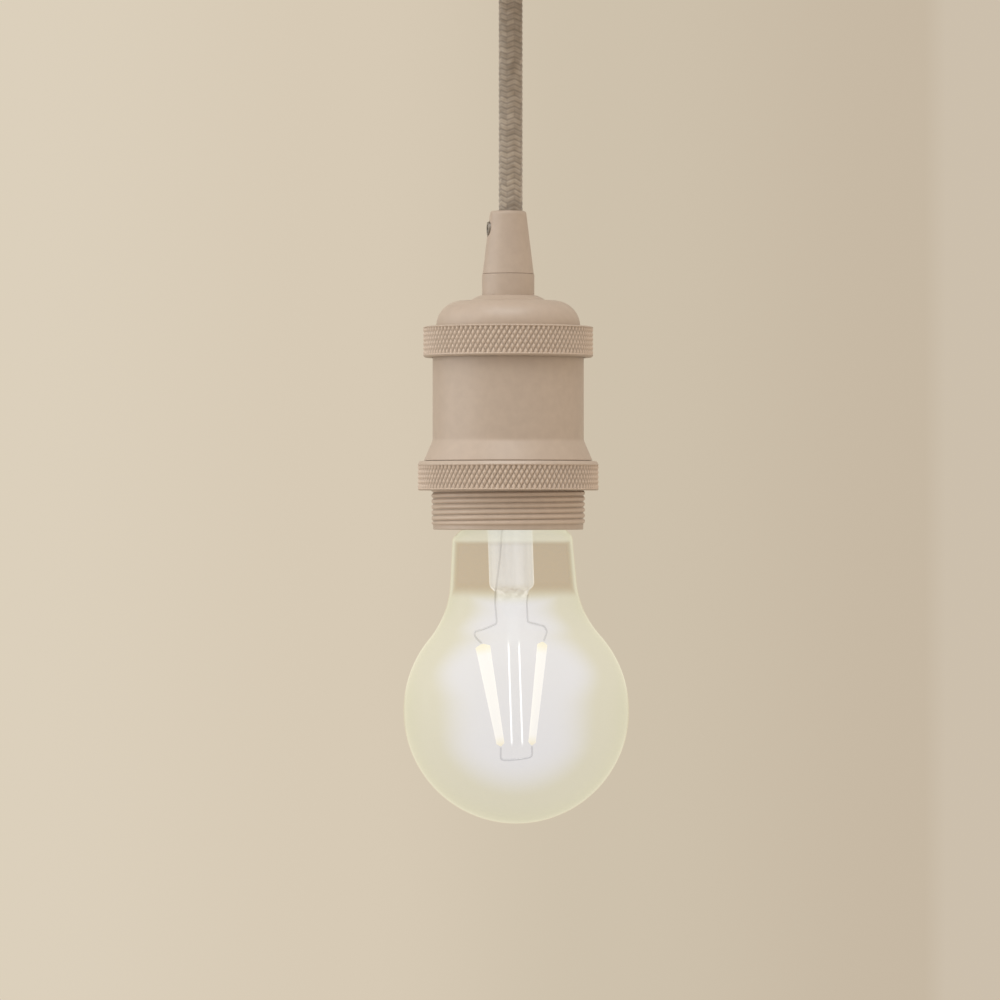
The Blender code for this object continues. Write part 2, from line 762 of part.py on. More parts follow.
# Barrel: plain tube, flare, and the skirt that carries the shade ring
barrel_top = rim_low + ENGAGED
barrel_outline = [
    (barrel_radius, barrel_top),
    (barrel_radius, flare_low + FLARE_HEIGHT),
    (barrel_radius + 0.0002, flare_low + FLARE_HEIGHT * 0.94),
    (flare_radius, flare_low + 0.0002),
    (flare_radius, flare_low),
    (skirt_crest, flare_low),
    (skirt_crest, SKIRT_CHAMFER),
    (skirt_crest - SKIRT_CHAMFER, 0),
    (barrel_bore, 0),
    (barrel_bore, barrel_top),
]
turned("holder_barrel", barrel_outline, PAINT, holder, segments=32)

# Shade ring: a knurled nut that screws up the skirt to the flare
ring_high = flare_low - SEAT
ring_low = ring_high - RING_HEIGHT
ring_valley = ring_radius - KNURL_DEPTH
ring = turned(
    "shade_ring",
    [
        (ring_radius, ring_high),
        (ring_radius, ring_high - RING_LIP),
        (ring_valley, ring_high - RING_LIP),
        (ring_valley, ring_low + RING_CHAMFER),
        (ring_radius, ring_low + RING_CHAMFER),
        (ring_radius - RING_CHAMFER, ring_low),
        (ring_bore, ring_low),
        (ring_bore, ring_high),
    ],
    PAINT,
    holder,
    segments=32,
)
knurl(ring, ring_low + RING_CHAMFER, ring_high - RING_LIP, ring_radius, KNURL_ROWS)

# Porcelain insert: a cup with its mouth down
mouth = INSERT_RECESS
cap_mouth = CAP_MOUTH
thread_high = cap_mouth + CAP_SKIRT + CAP_TURNS * CAP_PITCH
insulator_low = thread_high + CAP_CONE
lamp_contact_top = insulator_low + INSULATOR_HEIGHT + SEAT + CONTACT_HEIGHT
floor_low = lamp_contact_top + LEAF_ROOM
floor_high = floor_low + INSERT_FLOOR
insert = turned(
    "porcelain_insert",
    [
        (0, floor_high),
        (insert_radius - 0.001, floor_high),
        (insert_radius, floor_high - 0.001),
        (insert_radius, mouth),
        (insert_bore, mouth),
        (insert_bore, floor_low),
        (0, floor_low),
    ],
    PORCELAIN,
    holder,
    segments=24,
)

# Screw shell: a pressed thread with a flange that is riveted under the porcelain floor
shell_high = floor_low - SEAT
flange_radius = LEAF_REACH + 2 * SLIDE + LEAF_THICK
shell = turned(
    "screw_shell",
    [
        (flange_radius, shell_high),
        (shell_crest + SHELL_WALL, shell_high),
        (shell_crest + SHELL_WALL, thread_high + CAP_PITCH / 2),
        *zigzag(shell_crest + SHELL_WALL, shell_root + SHELL_WALL, thread_high, CAP_TURNS, CAP_PITCH),
        (shell_crest + SHELL_WALL, cap_mouth + CAP_SKIRT - CAP_PITCH / 2),
    ],
    BRASS,
    holder,
    segments=14,
    wall=SHELL_WALL,
    closed=False,
)

# Spring leaf that meets the lamp's centre contact
leaf_high = floor_low - SEAT - LEAF_THICK / 2
leaf_low = lamp_contact_top + SEAT + LEAF_THICK / 2
leaf = strip(
    "centre_contact",
    bent(
        [(-LEAF_REACH, leaf_high), (-LEAF_REACH + LEAF_BEND, leaf_high), (-LEAF_HEEL, leaf_low),
         (LEAF_TOE, leaf_low), (LEAF_TIP, leaf_low + LEAF_LIFT)],
        LEAF_THICK,
    ),
    LEAF_WIDTH,
    BRASS,
    holder,
)

# Terminals on the porcelain floor, each held by a rivet through it
terminal_low = floor_high + SEAT
terminal_high = terminal_low + TERMINAL_HEIGHT
half = TERMINAL_SIZE / 2
cable_end = hub - CAP_WALL - HUB_RISE - SEAT - BRIDGE_THICK - SEAT - NUT_HEIGHT - 0.0012 - 0.0012
rivet_places = (-LEAF_REACH + LEAF_BEND / 2, NEUTRAL_PLACE)
for name, place, rivet, under, look, turn in (
    ("live", -LIVE_PLACE, rivet_places[0], leaf_high - LEAF_THICK / 2, LIVE_BROWN, 180),
    ("neutral", NEUTRAL_PLACE, rivet_places[1], shell_high - SHELL_WALL, NEUTRAL_BLUE, -60),
):
    side = -1 if place < 0 else 1
    body = block(
        f"{name}_terminal",
        (place - half, -half, terminal_low),
        (place + half, half, terminal_high),
        BRASS,
        holder,
        bevel=0.0005,
    )
    hole = rod_mesh(
        "core_hole",
        (place, 0, terminal_high + 0.001),
        (place, 0, terminal_high - 0.0035),
        CORE_RADIUS + SLIDE,
        10,
    )
    cut(body, hole, holder)
    clamp = terminal_high - 0.0022
    hole = rod_mesh(
        "clamp_hole",
        (place + side * half * 1.2, 0, clamp),
        (place, 0, clamp),
        TERMINAL_SCREW_RADIUS + SLIDE,
        10,
    )
    cut(body, hole, holder)
    screw_piece(
        f"{name}_terminal_screw",
        (place + side * (half + SEAT), 0, clamp),
        (-side, 0, 0),
        (TERMINAL_SCREW_RADIUS, half - CORE_RADIUS, TERMINAL_SCREW_HEAD, 0.0010),
        BRASS,
        holder,
    )
    carrier = leaf if name == "live" else shell
    for target in (insert, carrier, body):
        top = terminal_low + 0.0014
        way_in, way_out = (rivet, 0, top), (rivet, 0, under - 0.001)
        hole = rod_mesh(f"{name}_rivet_hole", way_in, way_out, RIVET_RADIUS + SLIDE, 8)
        cut(target, hole, holder)
    screw_piece(
        f"{name}_rivet",
        (rivet, 0, under - SEAT),
        (0, 0, 1),
        (RIVET_RADIUS, top - SEAT - under + SEAT, RIVET_RADIUS * 1.8, 0.0006),
        BRASS,
        holder,
    )
    angle = radians(turn)
    start = cable_axis + Vector((cos(angle), sin(angle), 0)) * CORE_SPREAD
    start.z = cable_end - SEAT - CORE_LEAD
    route = eased(start, (place, 0, terminal_high + 3 * SLIDE), 5, pull=0.5)
    route.append((place, 0, terminal_high - 0.0030))
    wire(f"holder_{name}_core", route, CORE_RADIUS, look, holder, resolution=1)

# Bridge: a hat-shaped strap that hangs the porcelain from the nipple's nut
bridge_top = inner_top - SEAT
bridge_middle = bridge_top - BRIDGE_THICK / 2
foot_middle = floor_high + SEAT + BRIDGE_THICK / 2
leg = bridge_half - BRIDGE_THICK / 2
bridge = strip(
    "insert_bracket",
    bent(
        [(-foot_end, foot_middle), (-leg, foot_middle), (-leg, bridge_middle), (leg, bridge_middle),
         (leg, foot_middle), (foot_end, foot_middle)],
        BRIDGE_THICK,
    ),
    BRIDGE_WIDTH,
    STEEL,
    holder,
)
bridge.rotation_euler = (0, 0, pi / 2)
nut_hole = rod_mesh("nipple_hole", (0, 0, bridge_top + 0.001), (0, 0, bridge_top - 0.003), pass_bore, 24)
cut(bridge, nut_hole, holder)
nipple_and_nut(
    "holder", hub, bridge_top - BRIDGE_THICK, nipple_top, BRASS, holder, up=1
)
screw_line = bridge_half + BRIDGE_SCREW_HEAD + SLIDE
for side, name in ((-1, "front"), (1, "back")):
    seat = (0, side * screw_line, foot_middle + BRIDGE_THICK / 2 + SEAT)
    screw_piece(
        f"insert_screw_{name}",
        seat,
        (0, 0, -1),
        (BRIDGE_SCREW_RADIUS, BRIDGE_SCREW_LENGTH, BRIDGE_SCREW_HEAD, 0.0014),
        STEEL,
        holder,
    )
    hole = rod_mesh(
        f"{name}_screw_hole",
        (0, side * screw_line, seat[2] + 0.001),
        (0, side * screw_line, seat[2] - BRIDGE_SCREW_LENGTH - SEAT),
        BRIDGE_SCREW_RADIUS + SLIDE,
        10,
    )
    cut(bridge, hole, holder)
    cut(insert, hole.copy(), holder)

# Earth core, under a screw on the bridge's back leg
earth_height = bridge_top - EARTH_DROP
earth_face = bridge_half - BRIDGE_THICK
lug_thick = 0.0008
lug = block(
    "earth_lug",
    (-0.003, earth_face - SEAT - lug_thick, earth_height - 0.003),
    (0.003, earth_face - SEAT, earth_height + 0.003),
    NICKEL,
    holder,
    bevel=0.0002,
)
hole = rod_mesh(
    "earth_hole", (0, earth_face - 0.003, earth_height), (0, earth_face + 0.003, earth_height),
    TERMINAL_SCREW_RADIUS + SLIDE, 10,
)
cut(lug, hole, holder)
cut(bridge, hole.copy(), holder)
screw_piece(
    "earth_screw",
    (0, earth_face - 2 * SEAT - lug_thick, earth_height),
    (0, 1, 0),
    (TERMINAL_SCREW_RADIUS, lug_thick + BRIDGE_THICK + 0.0012, TERMINAL_SCREW_HEAD, 0.0011),
    STEEL,
    holder,
)
earth_turn = radians(60)
start = cable_axis + Vector((cos(earth_turn), sin(earth_turn), 0)) * CORE_SPREAD
start.z = cable_end - SEAT - CORE_LEAD
earth_end = (0.0048, earth_face - SEAT - lug_thick - CORE_RADIUS - SEAT, earth_height)
earth_route = eased(start, earth_end, 6, into=(0, 1, 0.2), pull=0.5)
wire("holder_earth_core", earth_route, CORE_RADIUS, EARTH_GREEN, holder)

# Cable, from inside the ceiling cup to inside the holder's cap
cable_bottom = skirt_end + cable_end
cable_length = cable_top - cable_bottom
cable_steps = ceil(cable_length / (5 * CABLE_RADIUS))
wire(
    "cable",
    [(CABLE_SHIFT, 0, cable_top - cable_length * i / cable_steps) for i in range(cable_steps + 1)],
    CABLE_RADIUS,
    TEXTILE,
    resolution=4,
)

# Lamp cap: the pressed E27 thread, a black glass insulator and the centre contact
lamp_cap = turned(
    "lamp_cap",
    [
        (INSULATOR_RADIUS, insulator_low),
        *zigzag(CAP_CREST, cap_root, thread_high, CAP_TURNS, CAP_PITCH),
        (CAP_CREST, cap_mouth + CAP_SKIRT - CAP_PITCH / 2),
        (CAP_CREST, cap_mouth),
    ],
    NICKEL,
    holder,
    segments=14,
    wall=CAP_METAL,
    closed=False,
)
turned(
    "lamp_cap_insulator",
    [
        (0, insulator_low + INSULATOR_HEIGHT),
        (CONTACT_RADIUS + 0.0006, insulator_low + INSULATOR_HEIGHT),
        (INSULATOR_RADIUS - 0.0004, insulator_low + SEAT),
        (0, insulator_low + SEAT),
    ],
    VITRITE,
    holder,
    segments=24,
)
contact_low = insulator_low + INSULATOR_HEIGHT + SEAT
turned(
    "lamp_cap_contact",
    [
        (0, contact_low + CONTACT_HEIGHT),
        (CONTACT_RADIUS * 0.7, contact_low + CONTACT_HEIGHT),
        (CONTACT_RADIUS, contact_low),
        (0, contact_low),
    ],
    NICKEL,
    holder,
    segments=20,
)

# The glass and all that it holds lean together about a point on the holder's axis
lamp = guide("lamp", holder, (0, 0, LEAN_PIVOT), (0, -LAMP_LEAN, 0))


def down(height):
    """A height above the skirt's end, as the leaning lamp measures it."""
    return height - LEAN_PIVOT


globe = 0, down(-GLASS_DROP)
fillet_rise = sqrt((GLASS_RADIUS + NECK_FILLET) ** 2 - (NECK_RADIUS + NECK_FILLET) ** 2)
fillet_centre = NECK_RADIUS + NECK_FILLET, globe[1] + fillet_rise
meet = degrees(atan2(fillet_rise, NECK_RADIUS + NECK_FILLET))
glass = turned(
    "lamp_glass",
    [
        (neck_end, down(CAP_MOUTH + NECK_TUCK)),
        (neck_end, down(CAP_MOUTH - 0.0003)),
        (NECK_RADIUS - 0.0020, down(0)),
        *arc((NECK_RADIUS - 0.0019, down(-NECK_SHOULDER)), 0.0019, 60, 0, 1),
        *arc(fillet_centre, NECK_FILLET, 180, 180 + meet, 3),
        *arc(globe, GLASS_RADIUS, meet, -90, 9)[1:-1],
        (0, down(-GLASS_DROP - GLASS_RADIUS)),
    ],
    GLASS,
    lamp,
    segments=22,
    wall=GLASS_WALL,
    closed=False,
)

# Stem: a glass tube, flared to the neck, pressed flat on its wires, with a support rod
turned(
    "glass_stem",
    [
        (0, down(-STEM_PRESS_TOP)),
        (STEM_RADIUS - STEM_WALL, down(-STEM_PRESS_TOP)),
        (STEM_RADIUS - STEM_WALL, down(-0.007)),
        (stem_flare - STEM_WALL, down(CAP_MOUTH + NECK_TUCK)),
        (stem_flare, down(CAP_MOUTH + NECK_TUCK)),
        (STEM_RADIUS + 0.0012, down(-0.0045)),
        (STEM_RADIUS, down(-0.0085)),
        (STEM_RADIUS, down(-STEM_PRESS_TOP)),
        (STEM_RADIUS * 0.72, down(-STEM_PRESS_TOP - 0.0022)),
        (ROD_RADIUS * 1.6, down(-STEM_PRESS_END + 0.001)),
        (ROD_RADIUS, down(-STEM_PRESS_END)),
        (ROD_RADIUS, down(-ROD_END + 0.0006)),
        (0, down(-ROD_END)),
    ],
    GLASS,
    lamp,
    segments=14,
)

# Filaments: two glowing sticks between the lead wires and the bridge wire
for side, name in ((-1, "left"), (1, "right")):
    top = Vector((side * FILAMENT_TOP[0], 0, down(-FILAMENT_TOP[1])))
    end = Vector((side * FILAMENT_END[0], 0, down(-FILAMENT_END[1])))
    way = (end - top).normalized()
    piece(f"filament_{name}", rod_mesh(f"filament_{name}", top, end, FILAMENT_RADIUS, 12), PHOSPHOR, lamp)
    shoulder = STEM_RADIUS * 0.72 + LEAD_RADIUS + SEAT
    route = [
        (side * shoulder, 0, down(-STEM_PRESS_TOP - 0.0022)),
        (side * shoulder, 0, down(-STEM_PRESS_END + 0.0004)),
        (side * (shoulder + 0.0018), 0, down(-STEM_PRESS_END - 0.0010)),
        (side * (FILAMENT_TOP[0] + 0.0004), 0, down(-STEM_PRESS_END - 0.0026)),
        tuple(top - way * PIN_LENGTH),
        tuple(top - way * SEAT),
    ]
    wire(f"lead_wire_{name}", route, LEAD_RADIUS, NICKEL, lamp, resolution=1)

low = down(-BRIDGE_WIRE_DROP)
foot = FILAMENT_END[0]
pin = Vector((FILAMENT_TOP[0] - FILAMENT_END[0], FILAMENT_END[1] - FILAMENT_TOP[1])).normalized()
ends = down(-FILAMENT_END[1]) - SEAT
wire(
    "bridge_wire",
    [
        (-foot + pin.x * SEAT, 0, ends),
        (-foot + pin.x * 0.002, 0, low + 0.0006),
        (-foot * 0.6, 0, low),
        (0, 0, low),
        (foot * 0.6, 0, low),
        (foot - pin.x * 0.002, 0, low + 0.0006),
        (foot - pin.x * SEAT, 0, ends),
    ],
    LEAD_RADIUS,
    NICKEL,
    lamp,
    resolution=1,
)

# Driver: a round board above the stem's flare, with its capacitor
board_low = CAP_MOUTH + NECK_TUCK + stem_flare * sin(LAMP_LEAN) + SEAT
turned(
    "driver_board",
    [
        (0, board_low + BOARD_THICK),
        (board_radius, board_low + BOARD_THICK),
        (board_radius, board_low),
        (0, board_low),
    ],
    BOARD_GREEN,
    holder,
    segments=20,
)
capacitor_low = board_low + BOARD_THICK + SEAT
turned(
    "driver_capacitor",
    [
        (0, capacitor_low + CAPACITOR_HEIGHT),
        (CAPACITOR_RADIUS - 0.0004, capacitor_low + CAPACITOR_HEIGHT),
        (CAPACITOR_RADIUS, capacitor_low + CAPACITOR_HEIGHT - 0.0004),
        (CAPACITOR_RADIUS, capacitor_low),
        (0, capacitor_low),
    ],
    VITRITE,
    holder,
    segments=16,
)
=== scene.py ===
# %% [markdown]
# # A pendant light, piece by piece
#
# The light is a painted metal lamp holder on a textile cable, with a lit filament lamp in it.
# Almost every piece is turned on a lathe, so almost every piece here is an outline of
# (radius, height) points that goes round the Z axis. What differs is the relief cut into it:
# diamond knurling on two rims, a thread on the skirt, a braid on the cable.
#
# Outlines are in millimetres. The heights of the holder and the lamp count from the lower end
# of the holder's skirt, and those of the cable and the ceiling cup from the ceiling.

from math import atan2, cos, degrees, pi, radians, sin, sqrt

import bmesh
import bpy
import numpy as np
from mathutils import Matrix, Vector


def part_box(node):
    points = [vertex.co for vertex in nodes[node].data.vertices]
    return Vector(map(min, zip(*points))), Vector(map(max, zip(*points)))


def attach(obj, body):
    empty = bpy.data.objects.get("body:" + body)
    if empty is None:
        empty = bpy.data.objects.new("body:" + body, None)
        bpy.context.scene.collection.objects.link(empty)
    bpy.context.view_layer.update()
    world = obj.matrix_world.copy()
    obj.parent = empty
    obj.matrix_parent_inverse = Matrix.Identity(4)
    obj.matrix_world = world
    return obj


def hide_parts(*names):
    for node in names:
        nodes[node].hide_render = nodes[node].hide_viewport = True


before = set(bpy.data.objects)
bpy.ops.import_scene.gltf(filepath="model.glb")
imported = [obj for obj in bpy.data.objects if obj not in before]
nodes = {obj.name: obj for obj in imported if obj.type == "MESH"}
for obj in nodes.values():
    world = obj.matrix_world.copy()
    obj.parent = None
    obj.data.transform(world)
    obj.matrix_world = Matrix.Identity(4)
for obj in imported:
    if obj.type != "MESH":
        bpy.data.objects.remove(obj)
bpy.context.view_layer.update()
MM = 0.001
skirt_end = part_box("holder_barrel")[0].z
print("pieces of the CAD model:", len(nodes), "- the skirt ends at", round(skirt_end / MM, 1), "mm")

# %% [markdown]
# ## Camera
#
# In the photograph the rims show as straight, level lines, so it was taken level and from
# afar. A short lens close by would bend them, which is why this lens is long. It stands at the
# height of the picture's middle. The holder's axis lies a few millimetres right of that
# middle, so the camera stands that much to the left of it.

# %% camera
DISTANCE = 1.4
LENS = 189.5
LEFT_OF_AXIS = 0.00218
ABOVE_SKIRT_END = 0.00785
seen = bpy.data.cameras.new("camera")
seen.lens = LENS
seen.clip_end = 20
camera = bpy.data.objects.new("camera", seen)
camera.location = (-LEFT_OF_AXIS, -DISTANCE, skirt_end + ABOVE_SKIRT_END)
camera.rotation_euler = (pi / 2, 0, 0)
bpy.context.scene.collection.objects.link(camera)
bpy.context.scene.camera = camera
print("camera at", tuple(round(v, 4) for v in camera.location))

# %% [markdown]
# ## How a surface is made
#
# A turned piece could be made with Blender's Screw modifier, but then its relief would have to
# be displaced afterwards. Here each piece is a grid of points worked out in millimetres, with
# the relief already in it, and faces between neighbours. The last column joins the first. The
# grid also gives the piece its own UV map, where U goes round and V goes along: the glow of a
# filament follows it. The relief's tone is kept with the points, and the paint reads it as
# painted shade and highlight.

# %% grid to mesh
SMOOTH_BELOW = 38
WELD_GAP = 0.0000005


def surface(name, points, crossed=False, base=(0, 0, skirt_end), edge=SMOOTH_BELOW, tone=None):
    """Faces join rows i, i + 1 and columns j, j + 1 of a grid of points in mm, set at base.

    UV = (j / columns, i / (rows - 1)). Crossed faces are two triangles each, and the diagonal
    turns with every face: it joins the two corners whose i + j is even. An edge stays sharp
    where its faces meet at more than the angle edge, in degrees. The tone, from -1 at the
    bottom of a groove to 1 on a crest, is kept at the points for the material, which paints it
    into the colour as shade and highlight."""
    rows, columns = points.shape[:2]
    number = np.arange(rows * columns).reshape(rows, columns)
    number = np.concatenate([number, number[:, :1]], axis=1)
    u, v = np.arange(columns + 1) / columns, np.arange(rows) / (rows - 1)
    spot = np.stack(np.meshgrid(u, v), axis=-1)
    row, column = np.indices((rows - 1, columns))
    corner = [(row, column), (row + 1, column), (row + 1, column + 1), (row, column + 1)]
    if crossed:
        even = (row + column) % 2 == 0
        first = [corner[0], corner[1], corner[2]], [corner[0], corner[1], corner[3]]
        second = [corner[0], corner[2], corner[3]], [corner[1], corner[2], corner[3]]
        pick = [
            [[np.where(even, a[k], b[k]) for k in (0, 1)] for a, b in zip(*pair)]
            for pair in (first, second)
        ]
        at = np.array(pick).transpose(3, 4, 0, 1, 2).reshape(-1, 3, 2)
    else:
        at = np.array(corner).transpose(2, 3, 0, 1).reshape(-1, 4, 2)
    mesh = bpy.data.meshes.new(name)
    placed = points.reshape(-1, 3) * MM + np.array(base)
    mesh.from_pydata(placed.tolist(), [], number[at[..., 0], at[..., 1]].tolist())
    chart = mesh.uv_layers.new(name="chart")
    chart.data.foreach_set("uv", spot[at[..., 0], at[..., 1]].astype(np.float32).ravel())
    if tone is not None:
        kept = mesh.attributes.new("tone", "FLOAT", "POINT")
        kept.data.foreach_set("value", tone.astype(np.float32).ravel())
    weld = bmesh.new()
    weld.from_mesh(mesh)
    bmesh.ops.remove_doubles(weld, verts=weld.verts, dist=WELD_GAP)
    weld.to_mesh(mesh)
    weld.free()
    mesh.shade_smooth()
    mesh.set_sharp_from_angle(angle=radians(edge))
    made = bpy.data.objects.new(name, mesh)
    bpy.context.scene.collection.objects.link(made)
    return made


print("surface is ready")

# %% [markdown]
# An outline is mostly straight runs and corners. On the real pieces no corner is quite sharp,
# and a small rounding catches the light. A Bevel modifier would round the knurling too, so
# the corners are rounded in the outline itself.

# %% outlines
SOFT_STEPS = 5
SUPPORT = 1.6
ROOM_SHARE = 0.3


def rounded(*corners):
    """Outline through corners (radius, height, cut), each softened over the length cut, or
    over less on a side where the next corner is near.

    With A and B before and after the corner C, the curve between them is
    (1 - t)² A + 2 t (1 - t) C + t² B. A support point stands just outside A and B, so that the
    straight runs stay straight in the shading. The first and the last corner stay sharp."""
    shape = np.array(corners, float)
    point, cut = shape[:, :2], shape[:, 2:]
    before = np.roll(point, 1, axis=0) - point
    after = np.roll(point, -1, axis=0) - point
    before[0], after[-1] = -after[0], -before[-1]
    room = [np.linalg.norm(way, axis=1, keepdims=True) for way in (before, after)]
    before = before / room[0] * np.minimum(cut, ROOM_SHARE * room[0])
    after = after / room[1] * np.minimum(cut, ROOM_SHARE * room[1])
    t = np.linspace(0, 1, SOFT_STEPS)[:, None, None]
    curve = (1 - t) ** 2 * (point + before) + 2 * t * (1 - t) * point + t**2 * (point + after)
    curve = np.concatenate([(point + before * SUPPORT)[None], curve, (point + after * SUPPORT)[None]])
    line = curve.transpose(1, 0, 2).reshape(-1, 2)
    keep = np.ones(len(line), bool)
    keep[: SOFT_STEPS // 2 + 1] = keep[len(line) - SOFT_STEPS // 2 - 1 :] = False
    return np.concatenate([point[:1], line[keep], point[-1:]])


def bow(centre, radius, start, end, steps):
    """Points (radius, height) on an arc between two angles in degrees."""
    turn = np.radians(np.linspace(start, end, steps))
    return np.stack([centre[0] + radius * np.cos(turn), centre[1] + radius * np.sin(turn)], axis=-1)


print("a rounded corner has", SOFT_STEPS + 2, "points")

# %% [markdown]
# Turning spins an outline. A relief is a function that says how deep the surface is cut at
# each angle and height, so the knurling, the thread and the braid all use the same helper.

# %% turning
AROUND = 160


def spun(radius, height, angle):
    """Points x = r cos a, y = r sin a, z = h, with a row for each height."""
    x = radius * np.cos(angle)
    return np.stack([x, radius * np.sin(angle), height + 0 * x], axis=-1)


def all_round(columns):
    """The angles of so many columns."""
    return np.arange(columns) * 2 * pi / columns


def turned(name, outline, columns=AROUND, relief=None, **how):
    """Spins an outline (r, h) with the radius r - d, where d is the depth that the relief has
    at each angle and height. A point on the axis stays there."""
    angle = all_round(columns)
    radius, height = outline[:, :1], outline[:, 1:]
    depth, tone = (0, None) if relief is None else relief(angle[None, :], height, radius)
    away = np.where(radius > 0, radius - depth + 0 * angle, 0)
    return surface(name, spun(away, height, angle), tone=tone, **how)


print("a plain turned piece has", AROUND, "columns")

# %% [markdown]
# ## The cable
#
# A textile cable is three insulated wires under a braid. The yarns lie nearly level and turn
# back at each wale, so the braid shows upright columns of short slanting dashes. A braid of
# real yarns would take millions of faces, and a bump alone would leave the cable's edge
# smooth. In this relief a zigzag goes round the cable and each pick of yarn is a rounded ridge
# along it.

# %% cable
CABLE_RADIUS = 3.22
CABLE_SHIFT = 0.65
CABLE_TOP = -13.5
CABLE_END = -129.0
CABLE_ROWS, CABLE_COLUMNS = 800, 100
PICK = 1.46
PICK_DEPTH = 0.13
WALES = 10
SWING = 0.42
SEAM_DEPTH = 0.04
NEAR_HOLDER_FROM, NEAR_HOLDER_OVER = -80, 50


def braid(angle, height, radius):
    """Depth = pick depth · |cos π p|^1.6 with p = h / pick + swing · zigzag(wales · a / 2π),
    and a shallow seam between neighbouring wales.

    In the tone each pick of each wale has a shade of its own, the hash fr(sin(n) · 43758.5453),
    and painted shade darkens the gaps between the picks, a thin line between its two yarns and
    the seams. Towards the holder the zigzag swings wider and the shades differ more, and painted
    shade makes the braid a little darker there, where the lamps light it more."""
    wale = WALES * angle / (2 * pi)
    zig = 2 * np.abs(wale / 2 - np.floor(wale / 2 + 0.5))
    near_holder = np.clip((NEAR_HOLDER_FROM - height) / NEAR_HOLDER_OVER, 0, 1)
    pick = height / PICK + SWING * (0.6 + 0.5 * near_holder) * 2 * zig
    gap = np.abs(np.cos(pi * pick))
    middle_line = np.abs(np.sin(pi * pick)) ** 12
    seam = np.clip(1 - np.abs(wale - np.round(wale)) * 7, 0, 1)
    number = np.sin(12.9898 * np.floor(pick) + 78.233 * np.floor(wale)) * 43758.5453
    shade = number - np.floor(number) - 0.5
    # painted shade: dark gaps between picks and yarns, dark seams, and darker near the holder
    tone = 0.4 + (1 + near_holder) * shade - 1.6 * gap**6 - 0.5 * middle_line - 0.3 * seam
    return PICK_DEPTH * gap**1.6 + SEAM_DEPTH * seam, np.clip(tone - 0.35 * near_holder, -1, 1)


side_line = np.linspace(CABLE_TOP, CABLE_END, CABLE_ROWS)
cable_outline = np.stack([np.full(CABLE_ROWS, CABLE_RADIUS), side_line], axis=-1)
cable_outline = np.concatenate([[[0, CABLE_TOP]], cable_outline, [[0, CABLE_END]]])
cable = turned("textile_cable", cable_outline, CABLE_COLUMNS, braid,
               base=(CABLE_SHIFT * MM, 0, 0), edge=60)
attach(cable, "root")
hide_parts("cable")
print("cable:", len(cable.data.vertices), "points,", CABLE_TOP - CABLE_END, "mm long")

# %% [markdown]
# ## Cord grip
#
# A hollow cone screws on the threaded tube and holds the cable with a set screw in its side.
# A Boolean would cut the hole, and leave long thin faces round it that shade badly. In a grid
# a round hole needs its edge on a grid line, so the square patch of grid round the screw is
# drawn in: its square rings become circles at the hole and squares again further out.

# %% grip cone
CONE_LOW, CONE_HIGH = 67.95, 84.7
CONE_TOP_RADIUS, CONE_BOTTOM_RADIUS = 4.75, 6.8
TUBE_BORE, CORD_BORE, TUBE_REACH = 5.3, 3.75, 4.7
SCREW_DROP = 4.8
SCREW_TURN = radians(188)
HOLE_RINGS, PATCH_RINGS = 10, 15
HOLE_DEPTH = 1.0
STEEPER = 0.094
TOP_LIP, FOOT_LIP = 0.85, 0.25


def cone_with_hole():
    """Grid of a cone whose patch round the screw is mapped from a square to a circle.

    With (u, v) from the screw, q = max(|u|, |v|) and e the unit vector of (u, v), a point moves
    to q e inside the hole's ring, and back to (u, v) at the patch's edge. Inside the ring it
    also sinks, and its rings are spread a little, which makes the hole's wall steep."""
    slope = (CONE_BOTTOM_RADIUS - CONE_TOP_RADIUS) / (CONE_HIGH - CONE_LOW)
    middle = CONE_HIGH - SCREW_DROP
    at = CONE_TOP_RADIUS + slope * SCREW_DROP
    step = 2 * pi * at / AROUND
    v = np.concatenate([
        np.linspace(SCREW_DROP - TOP_LIP, PATCH_RINGS * step, 5, endpoint=False),
        np.arange(PATCH_RINGS, -PATCH_RINGS, -1) * step,
        np.linspace(-PATCH_RINGS * step, CONE_LOW + FOOT_LIP - middle, 24),
    ])[:, None]
    u = ((np.arange(AROUND) - AROUND // 2) * step)[None, :]
    ring = np.maximum(np.abs(u), np.abs(v)) / step
    hole = (ring < HOLE_RINGS - 0.01).astype(float)
    length = np.maximum(np.hypot(u, v), 1e-6)
    share = np.clip((ring - HOLE_RINGS) / (PATCH_RINGS - HOLE_RINGS), 0, 1)
    scale = (ring * step / length) * (1 + STEEPER * hole) * (1 - share) + share
    u, v = u * scale, v * scale
    height = middle + v
    radius = CONE_TOP_RADIUS + slope * (CONE_HIGH - height) - HOLE_DEPTH * hole
    angle = SCREW_TURN + u / at
    top = np.array([
        (CORD_BORE, -3), (CORD_BORE, -0.25), (3.95, -0.05), (4.02, 0), (4.12, -0.01), (4.34, -0.06),
        (4.55, -0.18), (4.7, -0.36), (4.8, -0.6), (4.835, -0.8)
    ]) + (0, CONE_HIGH)
    foot = np.array([
        (6.79, 0.12), (6.74, 0.05), (6.65, 0), (TUBE_BORE, 0), (TUBE_BORE, TUBE_REACH),
        (CORD_BORE, TUBE_REACH), (CORD_BORE, CONE_HIGH - CONE_LOW - 3)
    ]) + (0, CONE_LOW)
    lips = [spun(line[:, :1], line[:, 1:], angle[0]) for line in (top, foot)]
    return np.concatenate([lips[0], spun(radius, height, angle), lips[1]])


cone = surface("cord_grip_cone", cone_with_hole())
print("grip cone:", len(cone.data.polygons), "faces")

# %% [markdown]
# The set screw lies in that hole. It has a flat face with a chamfer and a six-sided socket.

# %% set screw and collar
SCREW_COLUMNS = 72
SCREW_FACE = 5.6
SOCKET = 1.0


